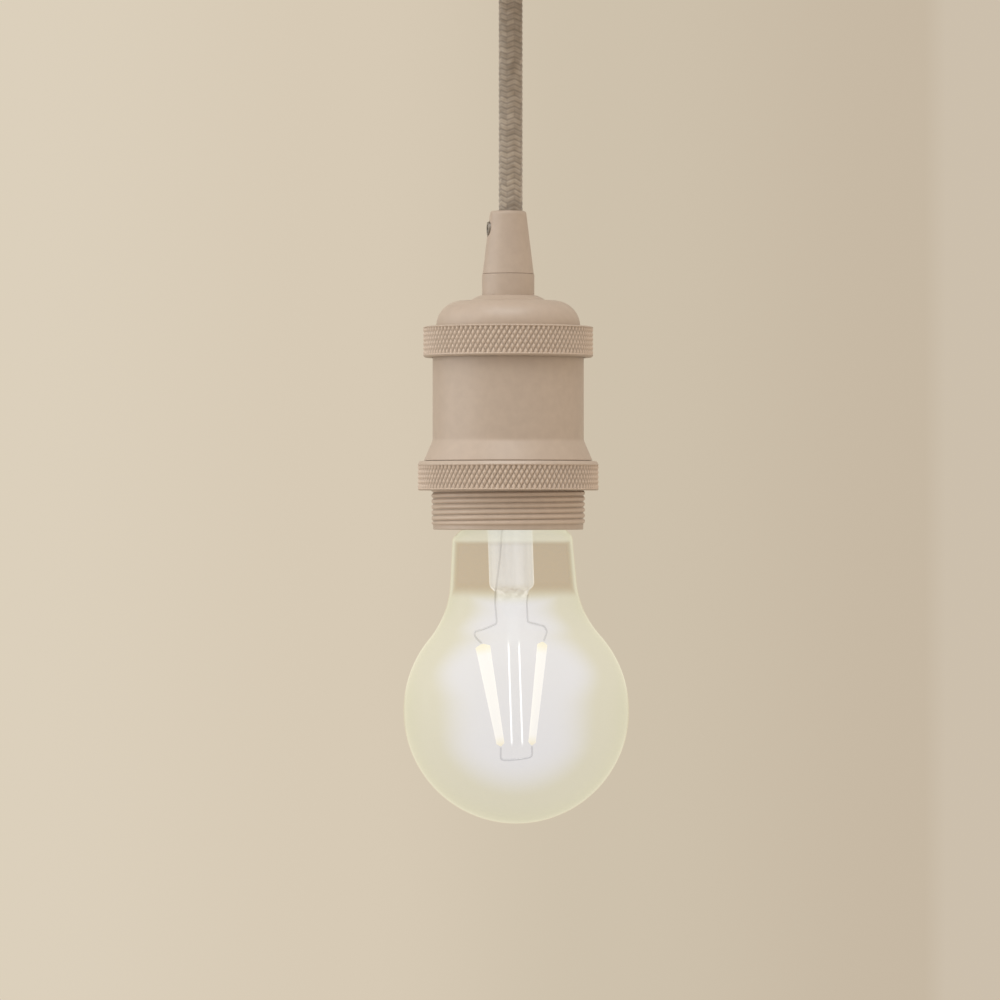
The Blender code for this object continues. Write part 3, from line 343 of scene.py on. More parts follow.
def set_screw(name, reach, turn, height):
    """A screw lying at the angle turn, its face at the distance reach from the axis.

    The socket's six flats lie at r(a) = flat / cos(a'), where a' is the angle from the nearest
    flat's middle. The screw is built upright, (x, y, z), and then laid as x → up, z → out."""
    a = all_round(SCREW_COLUMNS)
    flat = SOCKET / np.cos((a + pi / 6) % (pi / 3) - pi / 6)
    body = np.array([
        (0, -2.0), (1.9, -2.0), (1.9, -0.25), (1.88, -0.12), (1.75, -0.02), (1.6, 0), (1.35, 0)
    ])
    hole = np.array([(1.06, 0), (1.0, -0.06), (1.0, -1.2), (0, -1.4)])
    upright = np.concatenate([spun(body[:, :1], body[:, 1:], a), spun(hole[:, :1] * flat, hole[:, 1:], a)])
    x, y, z = np.moveaxis(upright, -1, 0)
    out = reach + z
    points = [out * cos(turn) - y * sin(turn), out * sin(turn) + y * cos(turn), height + x]
    return surface(name, np.stack(points, axis=-1))


screw = set_screw("cord_grip_set_screw", SCREW_FACE, SCREW_TURN, CONE_HIGH - SCREW_DROP)
collar = turned("cord_grip_collar", rounded(
    (TUBE_BORE, 66.5, 0.1), (TUBE_BORE, 67.9, 0.1), (6.95, 67.9, 0.1), (6.95, 62.2, 0.02),
    (TUBE_BORE, 62.2, 0.1), (TUBE_BORE, 66.5, 0.1)
))
print("set screw and collar:", len(screw.data.polygons), "+", len(collar.data.polygons), "faces")

# %% [markdown]
# ## Knurling
#
# A knurling tool rolls two sets of crossing grooves into the rim and leaves rows of little
# pyramids. A bump would look right from the front, but the rim's outline shows teeth, so the
# pyramids are in the mesh. The grid follows them: each is eight columns wide and eight rows
# high, so that every groove runs along the faces' diagonals.

# %% knurled cap
KNURL_DEPTH = 0.52
LIGHT_CUT = 0.9
FLAT_TOP = 0.12
KNURL_GRID = 8


def knurl(points, rows, low, high, peak):
    """Depth · c with c = (1 + flat) · max(|2 fr(a) - 1|, light · |2 fr(b) - 1|) - flat, for
    a = u - w and b = u + w, where u counts the points round the rim, w counts half the rows,
    and fr is the fraction part.

    The second set of grooves is lighter than the first, so that the points lean together.
    Both run out shallow at the band's two edges. The tone falls from 1 on a point's top to
    -1 in the grooves: a painted highlight on the tops and painted shade in the grooves."""

    def relief(angle, height, radius):
        share = (height - low) / (high - low)
        across = points * angle / (2 * pi)
        up = share * rows / 2 - 0.25
        a, b = across - up, across + up
        deep, light = np.abs(2 * (a - np.floor(a)) - 1), np.abs(2 * (b - np.floor(b)) - 1)
        inside = (share > -1e-6) & (share < 1 + 1e-6) & (radius > peak - 0.01)
        cut = np.clip(np.maximum(deep, LIGHT_CUT * light) * (1 + FLAT_TOP) - FLAT_TOP, 0, 1)
        cut = cut * np.clip(0.4 + 4 * rows * np.minimum(share, 1 - share), 0, 1)
        # painted highlight on the points' tops, painted shade in the grooves
        tone = np.clip(2.0 - 2.8 * cut, -1, 1)
        return np.where(inside, KNURL_DEPTH * cut, 0), np.where(inside, tone, 0)

    return relief


def band(radius, high, low, rows):
    """The rim's straight rows between two heights, four to each row of points."""
    heights = np.linspace(high, low, KNURL_GRID // 2 * rows + 1)
    return np.stack([np.full(len(heights), radius), heights], axis=-1)


def knurled(name, above, below, radius, high, low, points, rows):
    """A turned piece with a knurled band between the outlines above and below it."""
    outline = np.concatenate([above, band(radius, high, low, rows), below])
    relief = knurl(points, rows, low, high, radius)
    return turned(name, outline, KNURL_GRID * points, relief, crossed=True, edge=50)


HUB, CROWN, RIM_HIGH, RIM_LOW = 62.2, 60.8, 54.0, 45.75
RIM_RADIUS, RIM_POINTS, RIM_ROWS = 22.6, 99, 6
DOME_RADIUS, DOME_MIDDLE = 6.8, 12.35
above_rim = np.concatenate([
    rounded((TUBE_BORE, 61, 0.1), (TUBE_BORE, HUB, 0.1), (7.6, HUB, 0.25), (9.0, HUB - 0.63, 0.5),
            (10.26, CROWN, 0.5), (DOME_MIDDLE, CROWN, 0.01))[:-1],
    bow((DOME_MIDDLE, RIM_HIGH), DOME_RADIUS, 90, 4, 14),
    rounded((DOME_MIDDLE + DOME_RADIUS, RIM_HIGH, 0.02), (22.0, RIM_HIGH, 0.15), (RIM_RADIUS, 53.72, 0.06),
            (RIM_RADIUS, 53.64, 0.01))[1:-1],
])
below_rim = rounded((RIM_RADIUS, 46.36, 0.01), (RIM_RADIUS, RIM_LOW + 0.4, 0.2), (22.15, RIM_LOW, 0.2),
                    (20.45, RIM_LOW, 0.02), (20.45, 50, 0.1))[1:]
cap = knurled("cap_with_knurled_rim", above_rim, below_rim, RIM_RADIUS, 53.63, 46.37, RIM_POINTS, RIM_ROWS)
print("cap:", len(cap.data.polygons), "triangles")

# %% [markdown]
# The shade ring is a plain nut with the same knurling. It screws up the skirt and would clamp
# a lampshade.

# %% shade ring
RING_HIGH, RING_LOW, RING_BORE = 18.2, 10.4, 20.75
RING_RADIUS, RING_POINTS, RING_ROWS = 24.05, 106, 5
above_ring = rounded((RING_BORE, 14, 0.1), (RING_BORE, RING_HIGH, 0.1), (23.5, RING_HIGH, 0.2),
                     (RING_RADIUS, 17.3, 0.12), (RING_RADIUS, 17.12, 0.01))[:-1]
below_ring = rounded((RING_RADIUS, 10.78, 0.01), (RING_RADIUS, RING_LOW + 0.3, 0.15), (23.75, RING_LOW, 0.15),
                     (RING_BORE, RING_LOW, 0.1), (RING_BORE, 14, 0.1))[1:]
ring = knurled("knurled_shade_ring", above_ring, below_ring, RING_RADIUS, 17.1, 10.8, RING_POINTS, RING_ROWS)
print("ring:", len(ring.data.polygons), "triangles")

# %% [markdown]
# ## Barrel and thread
#
# The barrel is one turned tube: plain wall, a flare that the ring stops against, and a skirt
# with a fine outside thread. A thread is often swept along a helix. As relief it is one groove
# whose height grows with the angle, so it needs no second piece and its lines climb to the
# right all round.

# %% barrel
PITCH = 1.5
THREAD_DEPTH = 0.45
CREST, FLANK = 0.34, 0.6
THREAD_TOP, THREAD_END = 18.0, 1.6
SKIRT_RADIUS, SKIRT_ROWS, SKIRT_COLUMNS = 20.4, 170, 192
BARREL_BORE, BARREL_RADIUS, BARREL_TOP = 18.4, 20.1, 51.5


def thread(angle, height, radius):
    """Depth · clip((|2 fr(p) - 1| - crest) / flank) with p = h / pitch - a / 2π, which is zero
    on the crest and one at the root. The skirt's end is turned down to the root, so that the
    ring starts easily. The tone paints a highlight on the crest and shade only at the very root."""
    p = height / PITCH - angle / (2 * pi)
    groove = np.clip((np.abs(2 * (p - np.floor(p)) - 1) - CREST) / FLANK, 0, 1)
    fade = np.clip((THREAD_TOP - height) / 0.6, 0, 1)
    end = np.clip((THREAD_END - height) / 0.4, 0, 1)
    cut = np.maximum(groove, end) * fade
    # painted highlight on the crest, painted shade at the root
    tone = np.clip(0.6 - 2.3 * groove**6, -1, 1) * fade * (1 - end)
    outside = radius > SKIRT_RADIUS - 0.01
    return np.where(outside, THREAD_DEPTH * cut, 0), np.where(outside, tone, 0)


barrel_outline = np.concatenate([
    rounded((BARREL_BORE, BARREL_TOP, 0.1), (BARREL_RADIUS, BARREL_TOP, 0.2), (BARREL_RADIUS, 23.7, 0.5),
            (22.35, 18.55, 0.1), (22.35, 18.32, 0.08), (20.42, 18.32, 0.02))[:-1],
    np.stack([np.full(SKIRT_ROWS, SKIRT_RADIUS), np.linspace(18.2, 0.5, SKIRT_ROWS)], axis=-1),
    rounded((19.98, 0.45, 0.01), (19.98, 0.2, 0.1), (19.8, 0, 0.1), (BARREL_BORE, 0, 0.1),
            (BARREL_BORE, 6, 0.1))[1:],
    [(BARREL_BORE, BARREL_TOP)],
])
barrel = turned("barrel_with_thread", barrel_outline, SKIRT_COLUMNS, thread)
print("barrel:", len(barrel.data.polygons), "faces")

# %% [markdown]
# ## Ceiling cup and its grip
#
# A spun cup hides the terminals at the ceiling. Its floor turns up into the wall in one round
# bend, and a short collar with a set screw keeps the cable from pulling out. Both sides of the
# sheet are in one outline, so the cup needs no Solidify modifier.

# %% ceiling cup
CUP_RADIUS, CUP_DEPTH, CUP_WALL, CUP_BEND, CUP_EDGE = 40, 26, 1.4, 6, -0.3
bend_middle = CUP_RADIUS - CUP_BEND, CUP_BEND - CUP_DEPTH
cup_outline = np.concatenate([
    rounded((CUP_RADIUS - CUP_WALL, CUP_EDGE, 0.1), (CUP_RADIUS, CUP_EDGE, 0.3),
            (CUP_RADIUS, -19, 0.5))[:-1],
    bow(bend_middle, CUP_BEND, 0, -90, 16),
    rounded((bend_middle[0], -CUP_DEPTH, 0.2), (TUBE_BORE, -CUP_DEPTH, 0.2),
            (TUBE_BORE, CUP_WALL - CUP_DEPTH, 0.2), (32.6, CUP_WALL - CUP_DEPTH, 0.2))[1:],
    bow(bend_middle, CUP_BEND - CUP_WALL, -90, 0, 12),
    [(CUP_RADIUS - CUP_WALL, CUP_EDGE)],
])
cup = turned("ceiling_cup_shell", cup_outline, base=(0, 0, 0))
grip = turned("ceiling_cord_grip", rounded(
    (TUBE_BORE, -28, 0.1), (TUBE_BORE, -26.3, 0.1), (6.95, -26.3, 0.15), (6.95, -36.3, 0.5),
    (4.15, -36.3, 0.2), (4.15, -30.9, 0.1), (TUBE_BORE, -30.9, 0.1), (TUBE_BORE, -28, 0.1)
), base=(0, 0, 0))
print("ceiling cup:", len(cup.data.polygons), "faces")

# %% [markdown]
# ## The lamp's glass
#
# A globe of clear glass is drawn out into a neck, and the whole lamp leans a little on its
# cap. A scaled sphere joined to a cone would show a crease between them. Here one outline
# follows the neck's cone, a round fillet that touches both, and the globe.

# %% glass
INSIDE_LEAN = radians(1.9), 14.0
GLASS_LEAN = radians(1.3), 46.5
GLOBE_MIDDLE, GLOBE_RADIUS = -48.2, 29.97
NECK_RADIUS, NECK_SLOPE, FILLET = 15.79, 0.07, 25.0
NECK_END = 5.2


def leaned(points, lean, pivot):
    """Turns points about Y by the angle lean, about a pivot on the holder's axis: with z from
    the pivot, x' = x cos l - z sin l and z' = x sin l + z cos l."""
    x, y, z = points[..., 0], points[..., 1], points[..., 2] - pivot
    c, s = cos(lean), sin(lean)
    return np.stack([x * c - z * s, y, x * s + z * c + pivot], axis=-1)


# the fillet's middle is FILLET away from the neck's line and from the globe
norm = sqrt(1 + NECK_SLOPE**2)
reach = NECK_RADIUS + norm * FILLET - NECK_SLOPE * GLOBE_MIDDLE
far = GLOBE_RADIUS + FILLET
rise = (NECK_SLOPE * reach + sqrt((norm * far) ** 2 - reach**2)) / norm**2
fillet_middle = (reach - NECK_SLOPE * rise, GLOBE_MIDDLE + rise)
neck_turn = degrees(atan2(NECK_SLOPE, 1))
meet = degrees(atan2(rise, fillet_middle[0]))
glass_outline = np.concatenate([
    np.array([(11.4, 2.3), (11.4, 1.2)]),
    rounded((11.9, 0.6, 0.1), (13.7, 0.1, 0.5), (NECK_RADIUS + 0.15, -2.0, 1.6),
            (NECK_RADIUS + NECK_END * NECK_SLOPE, -NECK_END, 0.1))[1:-1],
    bow(fillet_middle, FILLET, 180 + neck_turn, 180 + meet, 30),
    bow((0, GLOBE_MIDDLE), GLOBE_RADIUS, meet, -90, 70)[1:],
])
globe_points = spun(glass_outline[:, :1], glass_outline[:, 1:], all_round(AROUND))
glass = surface("globe_glass", leaned(globe_points, *GLASS_LEAN))
print("glass:", len(glass.data.polygons), "faces, widest", 2 * GLOBE_RADIUS, "mm")

# %% [markdown]
# ## The lamp's stem
#
# Inside the neck a glass tube stands up, and its end is pressed flat on the lead wires while
# it is hot. A thin rod carries on down from it. The tube and the rod are one outline, and the
# press narrows it from front to back only. They lean a little more than the glass does.

# %% stem
STEM_COLUMNS = 64
PRESS_HIGH, PRESS_LOW = -15, -24.5
stem_outline = rounded(
    (10.2, 2.3, 0.1), (7.4, 1.6, 1.0), (5.95, 0.2, 1.0), (5.95, -15.0, 1.0), (4.3, -16.6, 0.8),
    (3.9, -19.0, 0.8), (2.9, -21.8, 0.8), (1.62, -24.2, 0.6), (1.62, -60.0, 0.2), (0, -60.2, 0.1)
)
radius, height = stem_outline[:, :1], stem_outline[:, 1:]
press = np.clip((PRESS_HIGH - height) / 3, 0, 1) * np.clip((height - PRESS_LOW) / 2, 0, 1)
flattened = np.stack([1 + 0 * press, 1 - 0.45 * press, 1 + 0 * press], axis=-1)
stem_points = spun(radius, height, all_round(STEM_COLUMNS)) * flattened
stem = surface("stem_and_rod", leaned(stem_points, *INSIDE_LEAN))
print("stem:", len(stem.data.polygons), "faces")

# %% [markdown]
# ## Wires and filaments
#
# Two lead wires come out of the press, bend outwards and carry two glowing sticks, which hang
# between them and the bridge wire below. A bevelled curve would make such wires too. Here the
# circles are placed along a given route, and the same helper tapers the sticks.

# %% wires
WIRE_RADIUS, WIRE_SIDES = 0.27, 12


def softened(route, steps):
    """Shares a route out into even steps and rounds its bends: three times over, each inner
    point becomes (p(k - 1) + 2 p(k) + p(k + 1)) / 4."""
    along = np.concatenate([[0], np.cumsum(np.linalg.norm(np.diff(route, axis=0), axis=1))])
    even = np.linspace(0, along[-1], steps)
    route = np.stack([np.interp(even, along, route[:, k]) for k in range(3)], axis=-1)
    for _ in range(3):
        route[1:-1] = (route[:-2] + 2 * route[1:-1] + route[2:]) / 4
    return route


def drawn(name, route, radius, sides):
    """A round wire: ring k is p(k) + r(k) (other cos a + side sin a), where side is Y made
    square to the route and other is square to both. Each end closes on a point."""
    way = np.gradient(route, axis=0)
    way /= np.linalg.norm(way, axis=1, keepdims=True)
    side = np.array([0.0, 1.0, 0.0]) - way * way[:, 1:2]
    side /= np.linalg.norm(side, axis=1, keepdims=True)
    other = np.cross(way, side)
    turn = all_round(sides)[None, :, None]
    circle = other[:, None] * np.cos(turn) + side[:, None] * np.sin(turn)
    size = np.broadcast_to(np.asarray(radius, float), (len(route),))[:, None, None]
    ends = [np.repeat(route[[k], None], sides, axis=1) for k in (0, -1)]
    return surface(name, np.concatenate([ends[0], route[:, None] + circle * size, ends[1]]))


def wire(name, steps, *route):
    """A wire whose route is given before the lamp leans."""
    leaning = leaned(np.array(route, float), *INSIDE_LEAN)
    return drawn(name, softened(leaning, steps), WIRE_RADIUS, WIRE_SIDES)


leads = [
    wire("left_lead", 90, (-2.1, -2.5, 0.0), (-3.0, -2.5, -8.0), (-4.4, -1.0, -16.6), (-4.6, 0, -19.5),
         (-4.3, 0, -25.0), (-8.2, 0, -26.4), (-10.5, 0, -26.9), (-10.2, 0, -28.3), (-8.5, 0, -30.0)),
    wire("right_lead", 60, (4.2, 0, -17.4), (3.8, 0, -19.5), (3.9, 0, -24.8), (8.3, 0, -26.0),
         (9.0, 0, -27.4), (8.0, 0, -29.9)),
]
bridge = wire("bridge_under_filaments", 60, (-4.37, 0, -57.8), (-4.5, 0, -60.6), (-4.2, 0, -61.2),
              (-2.0, 0, -61.3), (0.9, 0, -61.1), (3.5, 0, -60.7), (3.9, 0, -60.2), (3.9, 0, -57.8))
print("wires:", len(leads) + 1)

# %% filaments
STICK_HIGH, STICK_LOW = -30.2, -57.5
STICK_ROWS, STICK_SIDES, ROUND_END = 40, 20, 0.02


def stick(name, top, foot, wide, taper):
    """A filament from x = top to x = foot, whose radius falls by taper on the way down. Over
    its last bit at each end, where s goes from 0 to 1, r = R · sqrt(1 - (1 - s)²)."""
    t = np.linspace(0, 1, STICK_ROWS)[:, None]
    route = np.array([top, 0, STICK_HIGH]) * (1 - t) + np.array([foot, 0, STICK_LOW]) * t
    end = np.clip(np.minimum(t, 1 - t)[:, 0] / ROUND_END, 0.02, 1)
    radius = (wide - taper * t[:, 0]) * np.sqrt(1 - (1 - end) ** 2)
    return drawn(name, leaned(route, *INSIDE_LEAN), radius, STICK_SIDES)


sticks = [
    stick("left_filament", -8.35, -4.3, 2.0, 0.95),
    stick("right_filament", 7.7, 3.9, 1.38, 0.4),
]
print("filaments:", len(sticks))

# %% [markdown]
# ## Which piece stands for which
#
# Each new surface takes the place of one piece of the CAD model and moves with it. The screws,
# terminals, wires and the porcelain inside keep their own shapes.

# %% ride and replace
stands_for = {
    cone: ("grip_cone", "paint"),
    screw: ("grip_screw", "dark_steel"),
    collar: ("grip_collar", "paint"),
    cap: ("holder_cap", "paint"),
    ring: ("shade_ring", "paint"),
    barrel: ("holder_barrel", "paint"),
    cup: ("ceiling_cup", "paint"),
    grip: ("ceiling_grip", "paint"),
    glass: ("lamp_glass", "glass"),
    stem: ("glass_stem", "stem_glass"),
    leads[0]: ("lead_wire_left", "nickel"),
    leads[1]: ("lead_wire_right", "nickel"),
    bridge: ("bridge_wire", "nickel"),
    sticks[0]: ("filament_left", "phosphor"),
    sticks[1]: ("filament_right", "phosphor"),
}
for made, (node, finish) in stands_for.items():
    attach(made, "root")
    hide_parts(node)
print("replaced:", ", ".join(sorted(node for node, finish in stands_for.values())))

# %% [markdown]
# ## Finishes
#
# Every finish is built from nodes on the piece's own coordinates, in metres. A photograph of
# a surface would need unwrapping and would repeat, and noise does neither. A few helpers add
# and join the nodes, so that each recipe below reads as a short list.

# %% node helpers
FIRST, SECOND = 6, 7  # the two colour inputs of a Mix node


def shader(name, colour, roughness, metallic=0.0, **more):
    """A Principled shader with its plain values set on its own sockets."""
    made = bpy.data.materials.new(name)
    made.use_nodes = True
    tree = made.node_tree
    main = tree.nodes["Principled BSDF"]
    main.inputs["Base Color"].default_value = (*colour, 1)
    main.inputs["Roughness"].default_value = roughness
    main.inputs["Metallic"].default_value = metallic
    for socket, value in more.items():
        main.inputs[socket.replace("_", " ")].default_value = value
    return made, tree, main


def add(tree, kind, values=None, **settings):
    """A node with its settings, with values put on its input sockets by name."""
    node = tree.nodes.new(kind)
    for key, value in settings.items():
        setattr(node, key, value)
    for key, value in (values or {}).items():
        if isinstance(value, bpy.types.NodeSocket):
            tree.links.new(value, node.inputs[key])
        else:
            node.inputs[key].default_value = value
    return node


def sums(tree, operation, *values):
    """The result of a Math node on two or three values."""
    return add(tree, "ShaderNodeMath", dict(enumerate(values)), operation=operation).outputs[0]


def mapped(tree, value, low, high, to_low=0.0, to_high=1.0, **settings):
    """Maps the range from low to high on the range from to_low to to_high."""
    ends = {"Value": value, "From Min": low, "From Max": high, "To Min": to_low, "To Max": to_high}
    return add(tree, "ShaderNodeMapRange", ends, **settings).outputs[0]


def blended(tree, factor, first, second, blend="MIX"):
    """Blends two colours by a factor. Each of the three is a socket or plain numbers."""
    first, second = ((*value, 1) if isinstance(value, tuple) else value for value in (first, second))
    values = {"Factor": factor, FIRST: first, SECOND: second}
    return add(tree, "ShaderNodeMix", values, data_type="RGBA", blend_type=blend).outputs[2]


def noise(tree, scale, detail=2.0, stretch=(1, 1, 1)):
    """Noise of so many waves a metre on the piece's own coordinates."""
    place = add(tree, "ShaderNodeTexCoord").outputs["Object"]
    sized = add(tree, "ShaderNodeMapping", {"Vector": place, "Scale": stretch}).outputs[0]
    return add(tree, "ShaderNodeTexNoise", {"Vector": sized, "Scale": scale, "Detail": detail}).outputs[0]


def spread(tree, value, low, high):
    """Maps a noise, most of which lies from 0.3 to 0.7, on the numbers from low to high."""
    return mapped(tree, value, 0.3, 0.7, low, high)


def bump(tree, main, height, strength, distance=0.0001):
    """Tilts the shading by a height, as if it stood out by the distance in metres."""
    made = add(tree, "ShaderNodeBump", {"Height": height, "Strength": strength, "Distance": distance})
    tree.links.new(made.outputs[0], main.inputs["Normal"])


print("node helpers are ready")

# %% [markdown]
# The holder has a matt taupe paint, and most hidden pieces are plain metal, nylon or glazed
# porcelain. They differ in numbers only, so they share one recipe: the colour wanders a
# little, the roughness wanders a little and a fine bump breaks the shine.

# %% common finishes
PAINT = (0.45, 0.345, 0.262)


def tinted(colour, k):
    """A colour times k, held below 1."""
    return tuple(min(1, c * k) for c in colour)


def grained(name, colour, roughness, metallic=0.0, grain=900, vary=0.05, dent=0.1, **more):
    """The common recipe: a colour that wanders by vary, a roughness that wanders by a tenth,
    and a fine bump, all from noise of that grain."""
    made, tree, main = shader(name, colour, roughness, metallic, **more)
    wide = noise(tree, grain / 6, 3)
    fine = noise(tree, grain, 2)
    tint = blended(tree, spread(tree, wide, 0, 1), tinted(colour, 1 - vary), tinted(colour, 1 + vary))
    tree.links.new(tint, main.inputs["Base Color"])
    tree.links.new(spread(tree, fine, roughness * 0.9, min(1, roughness * 1.1)), main.inputs["Roughness"])
    bump(tree, main, fine, dent)
    return made


finishes = {
    "paint": grained("taupe_powder_coat", PAINT, 0.42, grain=2600, vary=0.03, dent=0.05),
    "steel": grained("zinc_plated_steel", (0.6, 0.6, 0.6), 0.35, 1.0, grain=1500, vary=0.08),
    "dark_steel": grained("blackened_steel", (0.34, 0.31, 0.28), 0.6, 1.0, grain=1800, vary=0.12),
    "brass": grained("brass", (0.72, 0.52, 0.24), 0.35, 1.0, grain=1200, vary=0.08),
    "nickel": grained("nickel_plate", (0.52, 0.51, 0.50), 0.32, 1.0, grain=1200, vary=0.05),
    "porcelain": grained("glazed_porcelain", (0.86, 0.84, 0.79), 0.3, grain=500, vary=0.02, Coat_Weight=0.6),
    "black_glass": grained("black_glass", (0.02, 0.02, 0.02), 0.2, grain=600, vary=0.2),
    "capacitor_sleeve": grained("capacitor_sleeve", (0.02, 0.02, 0.03), 0.35, grain=700, vary=0.2),
    "nylon": grained("nylon", (0.85, 0.85, 0.82), 0.45, grain=900, vary=0.02),
    "board": grained("circuit_board", (0.62, 0.59, 0.52), 0.5, grain=900, vary=0.05),
    "live_insulation": grained("brown_insulation", (0.20, 0.09, 0.04), 0.5, grain=1200, vary=0.05),
    "neutral_insulation": grained("blue_insulation", (0.04, 0.14, 0.45), 0.5, grain=1200, vary=0.05),
}
print("common finishes:", len(finishes))

# %% [markdown]
# The tone kept at the points paints light and shade into the colour: a painted highlight on
# the crests of the knurling and the thread, painted shade in their grooves, and painted shade in
# the braid's gaps. It is exact, where a guess from the surface's curvature would be noisy.

# %% painted shade and highlights
# how strongly the tone paints shade and highlight into the colour
TONE_SHADE_STRENGTH = 0.3


def painted_shade_and_highlight(tree, main):
    """Multiplies the base colour by 1 + strength · tone, which paints shade and highlights into it. Without a
    tone the colour stays.
    """
    colour = main.inputs["Base Color"].links[0].from_socket
    tone = add(tree, "ShaderNodeAttribute", attribute_name="tone").outputs["Fac"]
    factor = sums(tree, "MULTIPLY_ADD", tone, TONE_SHADE_STRENGTH, 1.0)
    tree.links.new(blended(tree, 1.0, colour, factor, "MULTIPLY"), main.inputs["Base Color"])


coat = finishes["paint"].node_tree
# the holder's paint gets painted shade and highlights from the tone
painted_shade_and_highlight(coat, coat.nodes["Principled BSDF"])
print("painted shade and highlight strength:", TONE_SHADE_STRENGTH)

# %% [markdown]
# The earth core's insulation has green and yellow stripes. Noise that is stretched along the
# wire and cut off sharply gives such stripes without a texture.

# %% striped insulation
made, tree, main = shader("striped_insulation", (0.25, 0.45, 0.06), 0.5)
stripe = noise(tree, 220, 0, (1, 1, 0.25))
fine = noise(tree, 1200)
sharp = mapped(tree, stripe, 0.49, 0.51)
tree.links.new(blended(tree, sharp, (0.06, 0.25, 0.05), (0.80, 0.62, 0.05)), main.inputs["Base Color"])
tree.links.new(spread(tree, fine, 0.45, 0.55), main.inputs["Roughness"])
bump(tree, main, fine, 0.08)
finishes["earth_insulation"] = made
print("finishes:", len(finishes))

# %% [markdown]
# The braid is matt cloth. Its picks take their own shades and their painted shade from the
# tone too, and soft stains and fine threads come from two noises that are squeezed along the
# cable. A little sheen stands for the loose fibres at its edge.

# %% braid
made, tree, main = shader("braided_textile", (0.275, 0.216, 0.156), 0.9, Sheen_Weight=0.25,
                          Sheen_Roughness=0.5)
stain = spread(tree, noise(tree, 420, 2, (1, 1, 1.6)), 0, 1)
fibre = noise(tree, 3200, 2, (1, 1, 2.4))
tree.links.new(blended(tree, stain, (0.30, 0.235, 0.17), (0.39, 0.315, 0.24)), main.inputs["Base Color"])
# painted shade in the braid's gaps and towards the holder, and the picks' own shades, from the tone
painted_shade_and_highlight(tree, main)
tree.links.new(spread(tree, fibre, 0.85, 0.97), main.inputs["Roughness"])
bump(tree, main, fibre, 0.5, 0.0002)
finishes["textile"] = made
print("finishes:", len(finishes))

# %% [markdown]
# ## The lit glass
#
# The lit lamp glares: seen face on, the glass is milky white, and it turns cream towards its
# edge. Real light from the filaments would need many samples and a blur to look so, so the
# glare is an emission in the glass, which follows how squarely the glass is seen. Most of the
# neck has no glare: it stays clear and a little brown between a pale mouth and pale edges.


# %% glare helpers
def ramp(tree, value, *stops):
    """A colour ramp through (place, colour) stops."""
    node = add(tree, "ShaderNodeValToRGB")
    node.color_ramp.interpolation = "EASE"
    tree.links.new(value, node.inputs[0])
    points = node.color_ramp.elements
    while len(points) < len(stops):
        points.new(1)
    for point, (place, colour) in zip(points, stops):
        point.position = place
        point.color = (*colour, 1)
    return node.outputs[0]


def height_of(tree, low, high):
    """0 at the height low and 1 at high, eased, in mm above the skirt's end."""
    place = add(tree, "ShaderNodeTexCoord").outputs["Object"]
    z = add(tree, "ShaderNodeSeparateXYZ", {0: place}).outputs[2]
    return mapped(tree, z, skirt_end + low * MM, skirt_end + high * MM, interpolation_type="SMOOTHSTEP")


print("ramp and height_of are ready")

# %% glass finish
BROWN, PALE = (0.375, 0.205, 0.02), (0.30, 0.26, 0.18)
BLUE_WHITE, CREAM = (0.555, 0.59, 0.69), (0.455, 0.46, 0.385)
RIM_CREAM, RIM_DARK = (0.425, 0.44, 0.335), (0.16, 0.14, 0.06)
made, tree, main = shader("clear_glass", BROWN, 0.08, Emission_Strength=1.0, Specular_IOR_Level=0.06)
facing = add(tree, "ShaderNodeLayerWeight", {"Blend": 0.5}).outputs["Facing"]

# the milky middle reaches further at the shoulder and the foot, and ends under the neck
upper = sums(tree, "MULTIPLY", height_of(tree, -22, -14.5), 0.42)
shoulder = sums(tree, "MULTIPLY", height_of(tree, -47, -36), height_of(tree, -20.5, -27))
foot = sums(tree, "MULTIPLY", height_of(tree, -50, -60), 0.35)
longer = sums(tree, "MAXIMUM", shoulder, foot)
nearer = sums(tree, "MULTIPLY_ADD", longer, -0.16, facing)
glow = ramp(tree, sums(tree, "MAXIMUM", nearer, upper), (0.0, BLUE_WHITE), (0.04, BLUE_WHITE), (0.32, CREAM),
            (0.80, RIM_CREAM), (1.0, RIM_DARK))

# the glare covers the body, the mouth and the neck's two edges
body = height_of(tree, -13.4, -18.4)
mouth = height_of(tree, -4.6, -2.6)
rim = mapped(tree, facing, 0.5, 0.74)
hazy = sums(tree, "MAXIMUM", body, sums(tree, "MAXIMUM", mouth, rim))
tree.links.new(blended(tree, hazy, BROWN, PALE), main.inputs["Base Color"])
shine = blended(tree, 1.0, glow, blended(tree, mouth, (1, 1, 1), (1.12, 1.11, 1.10)), "MULTIPLY")
tree.links.new(blended(tree, hazy, (0, 0, 0), shine), main.inputs["Emission Color"])
tree.links.new(mapped(tree, hazy, 0, 1, 0.15, 0.5), main.inputs["Alpha"])
fine = noise(tree, 240, 2)
tree.links.new(spread(tree, fine, 0.05, 0.10), main.inputs["Roughness"])
bump(tree, main, fine, 0.02)
finishes["glass"] = made
print("glass: glare", BLUE_WHITE, "face on,", CREAM, "nearer its edge")

# %% [markdown]
# The stem is lit from below, and that light is painted into it as emission. Its tube is a
# bright, streaky veil of painted glow, its press has painted white highlights, and the rod
# under it shows only as two white lines, painted highlights on its edges. One material does
# all three, with masks by height, because the stem is one piece of glass.

# %% stem finish
made, tree, main = shader("stem_glass", (0.3, 0.28, 0.24), 0.15, Emission_Strength=1.0,
                          Specular_IOR_Level=0.1)
facing = add(tree, "ShaderNodeLayerWeight", {"Blend": 0.5}).outputs["Facing"]
rod = height_of(tree, -28.5, -32)
dull, bright = (0.35, 0.35, 0.33), (1.3, 1.3, 1.27)
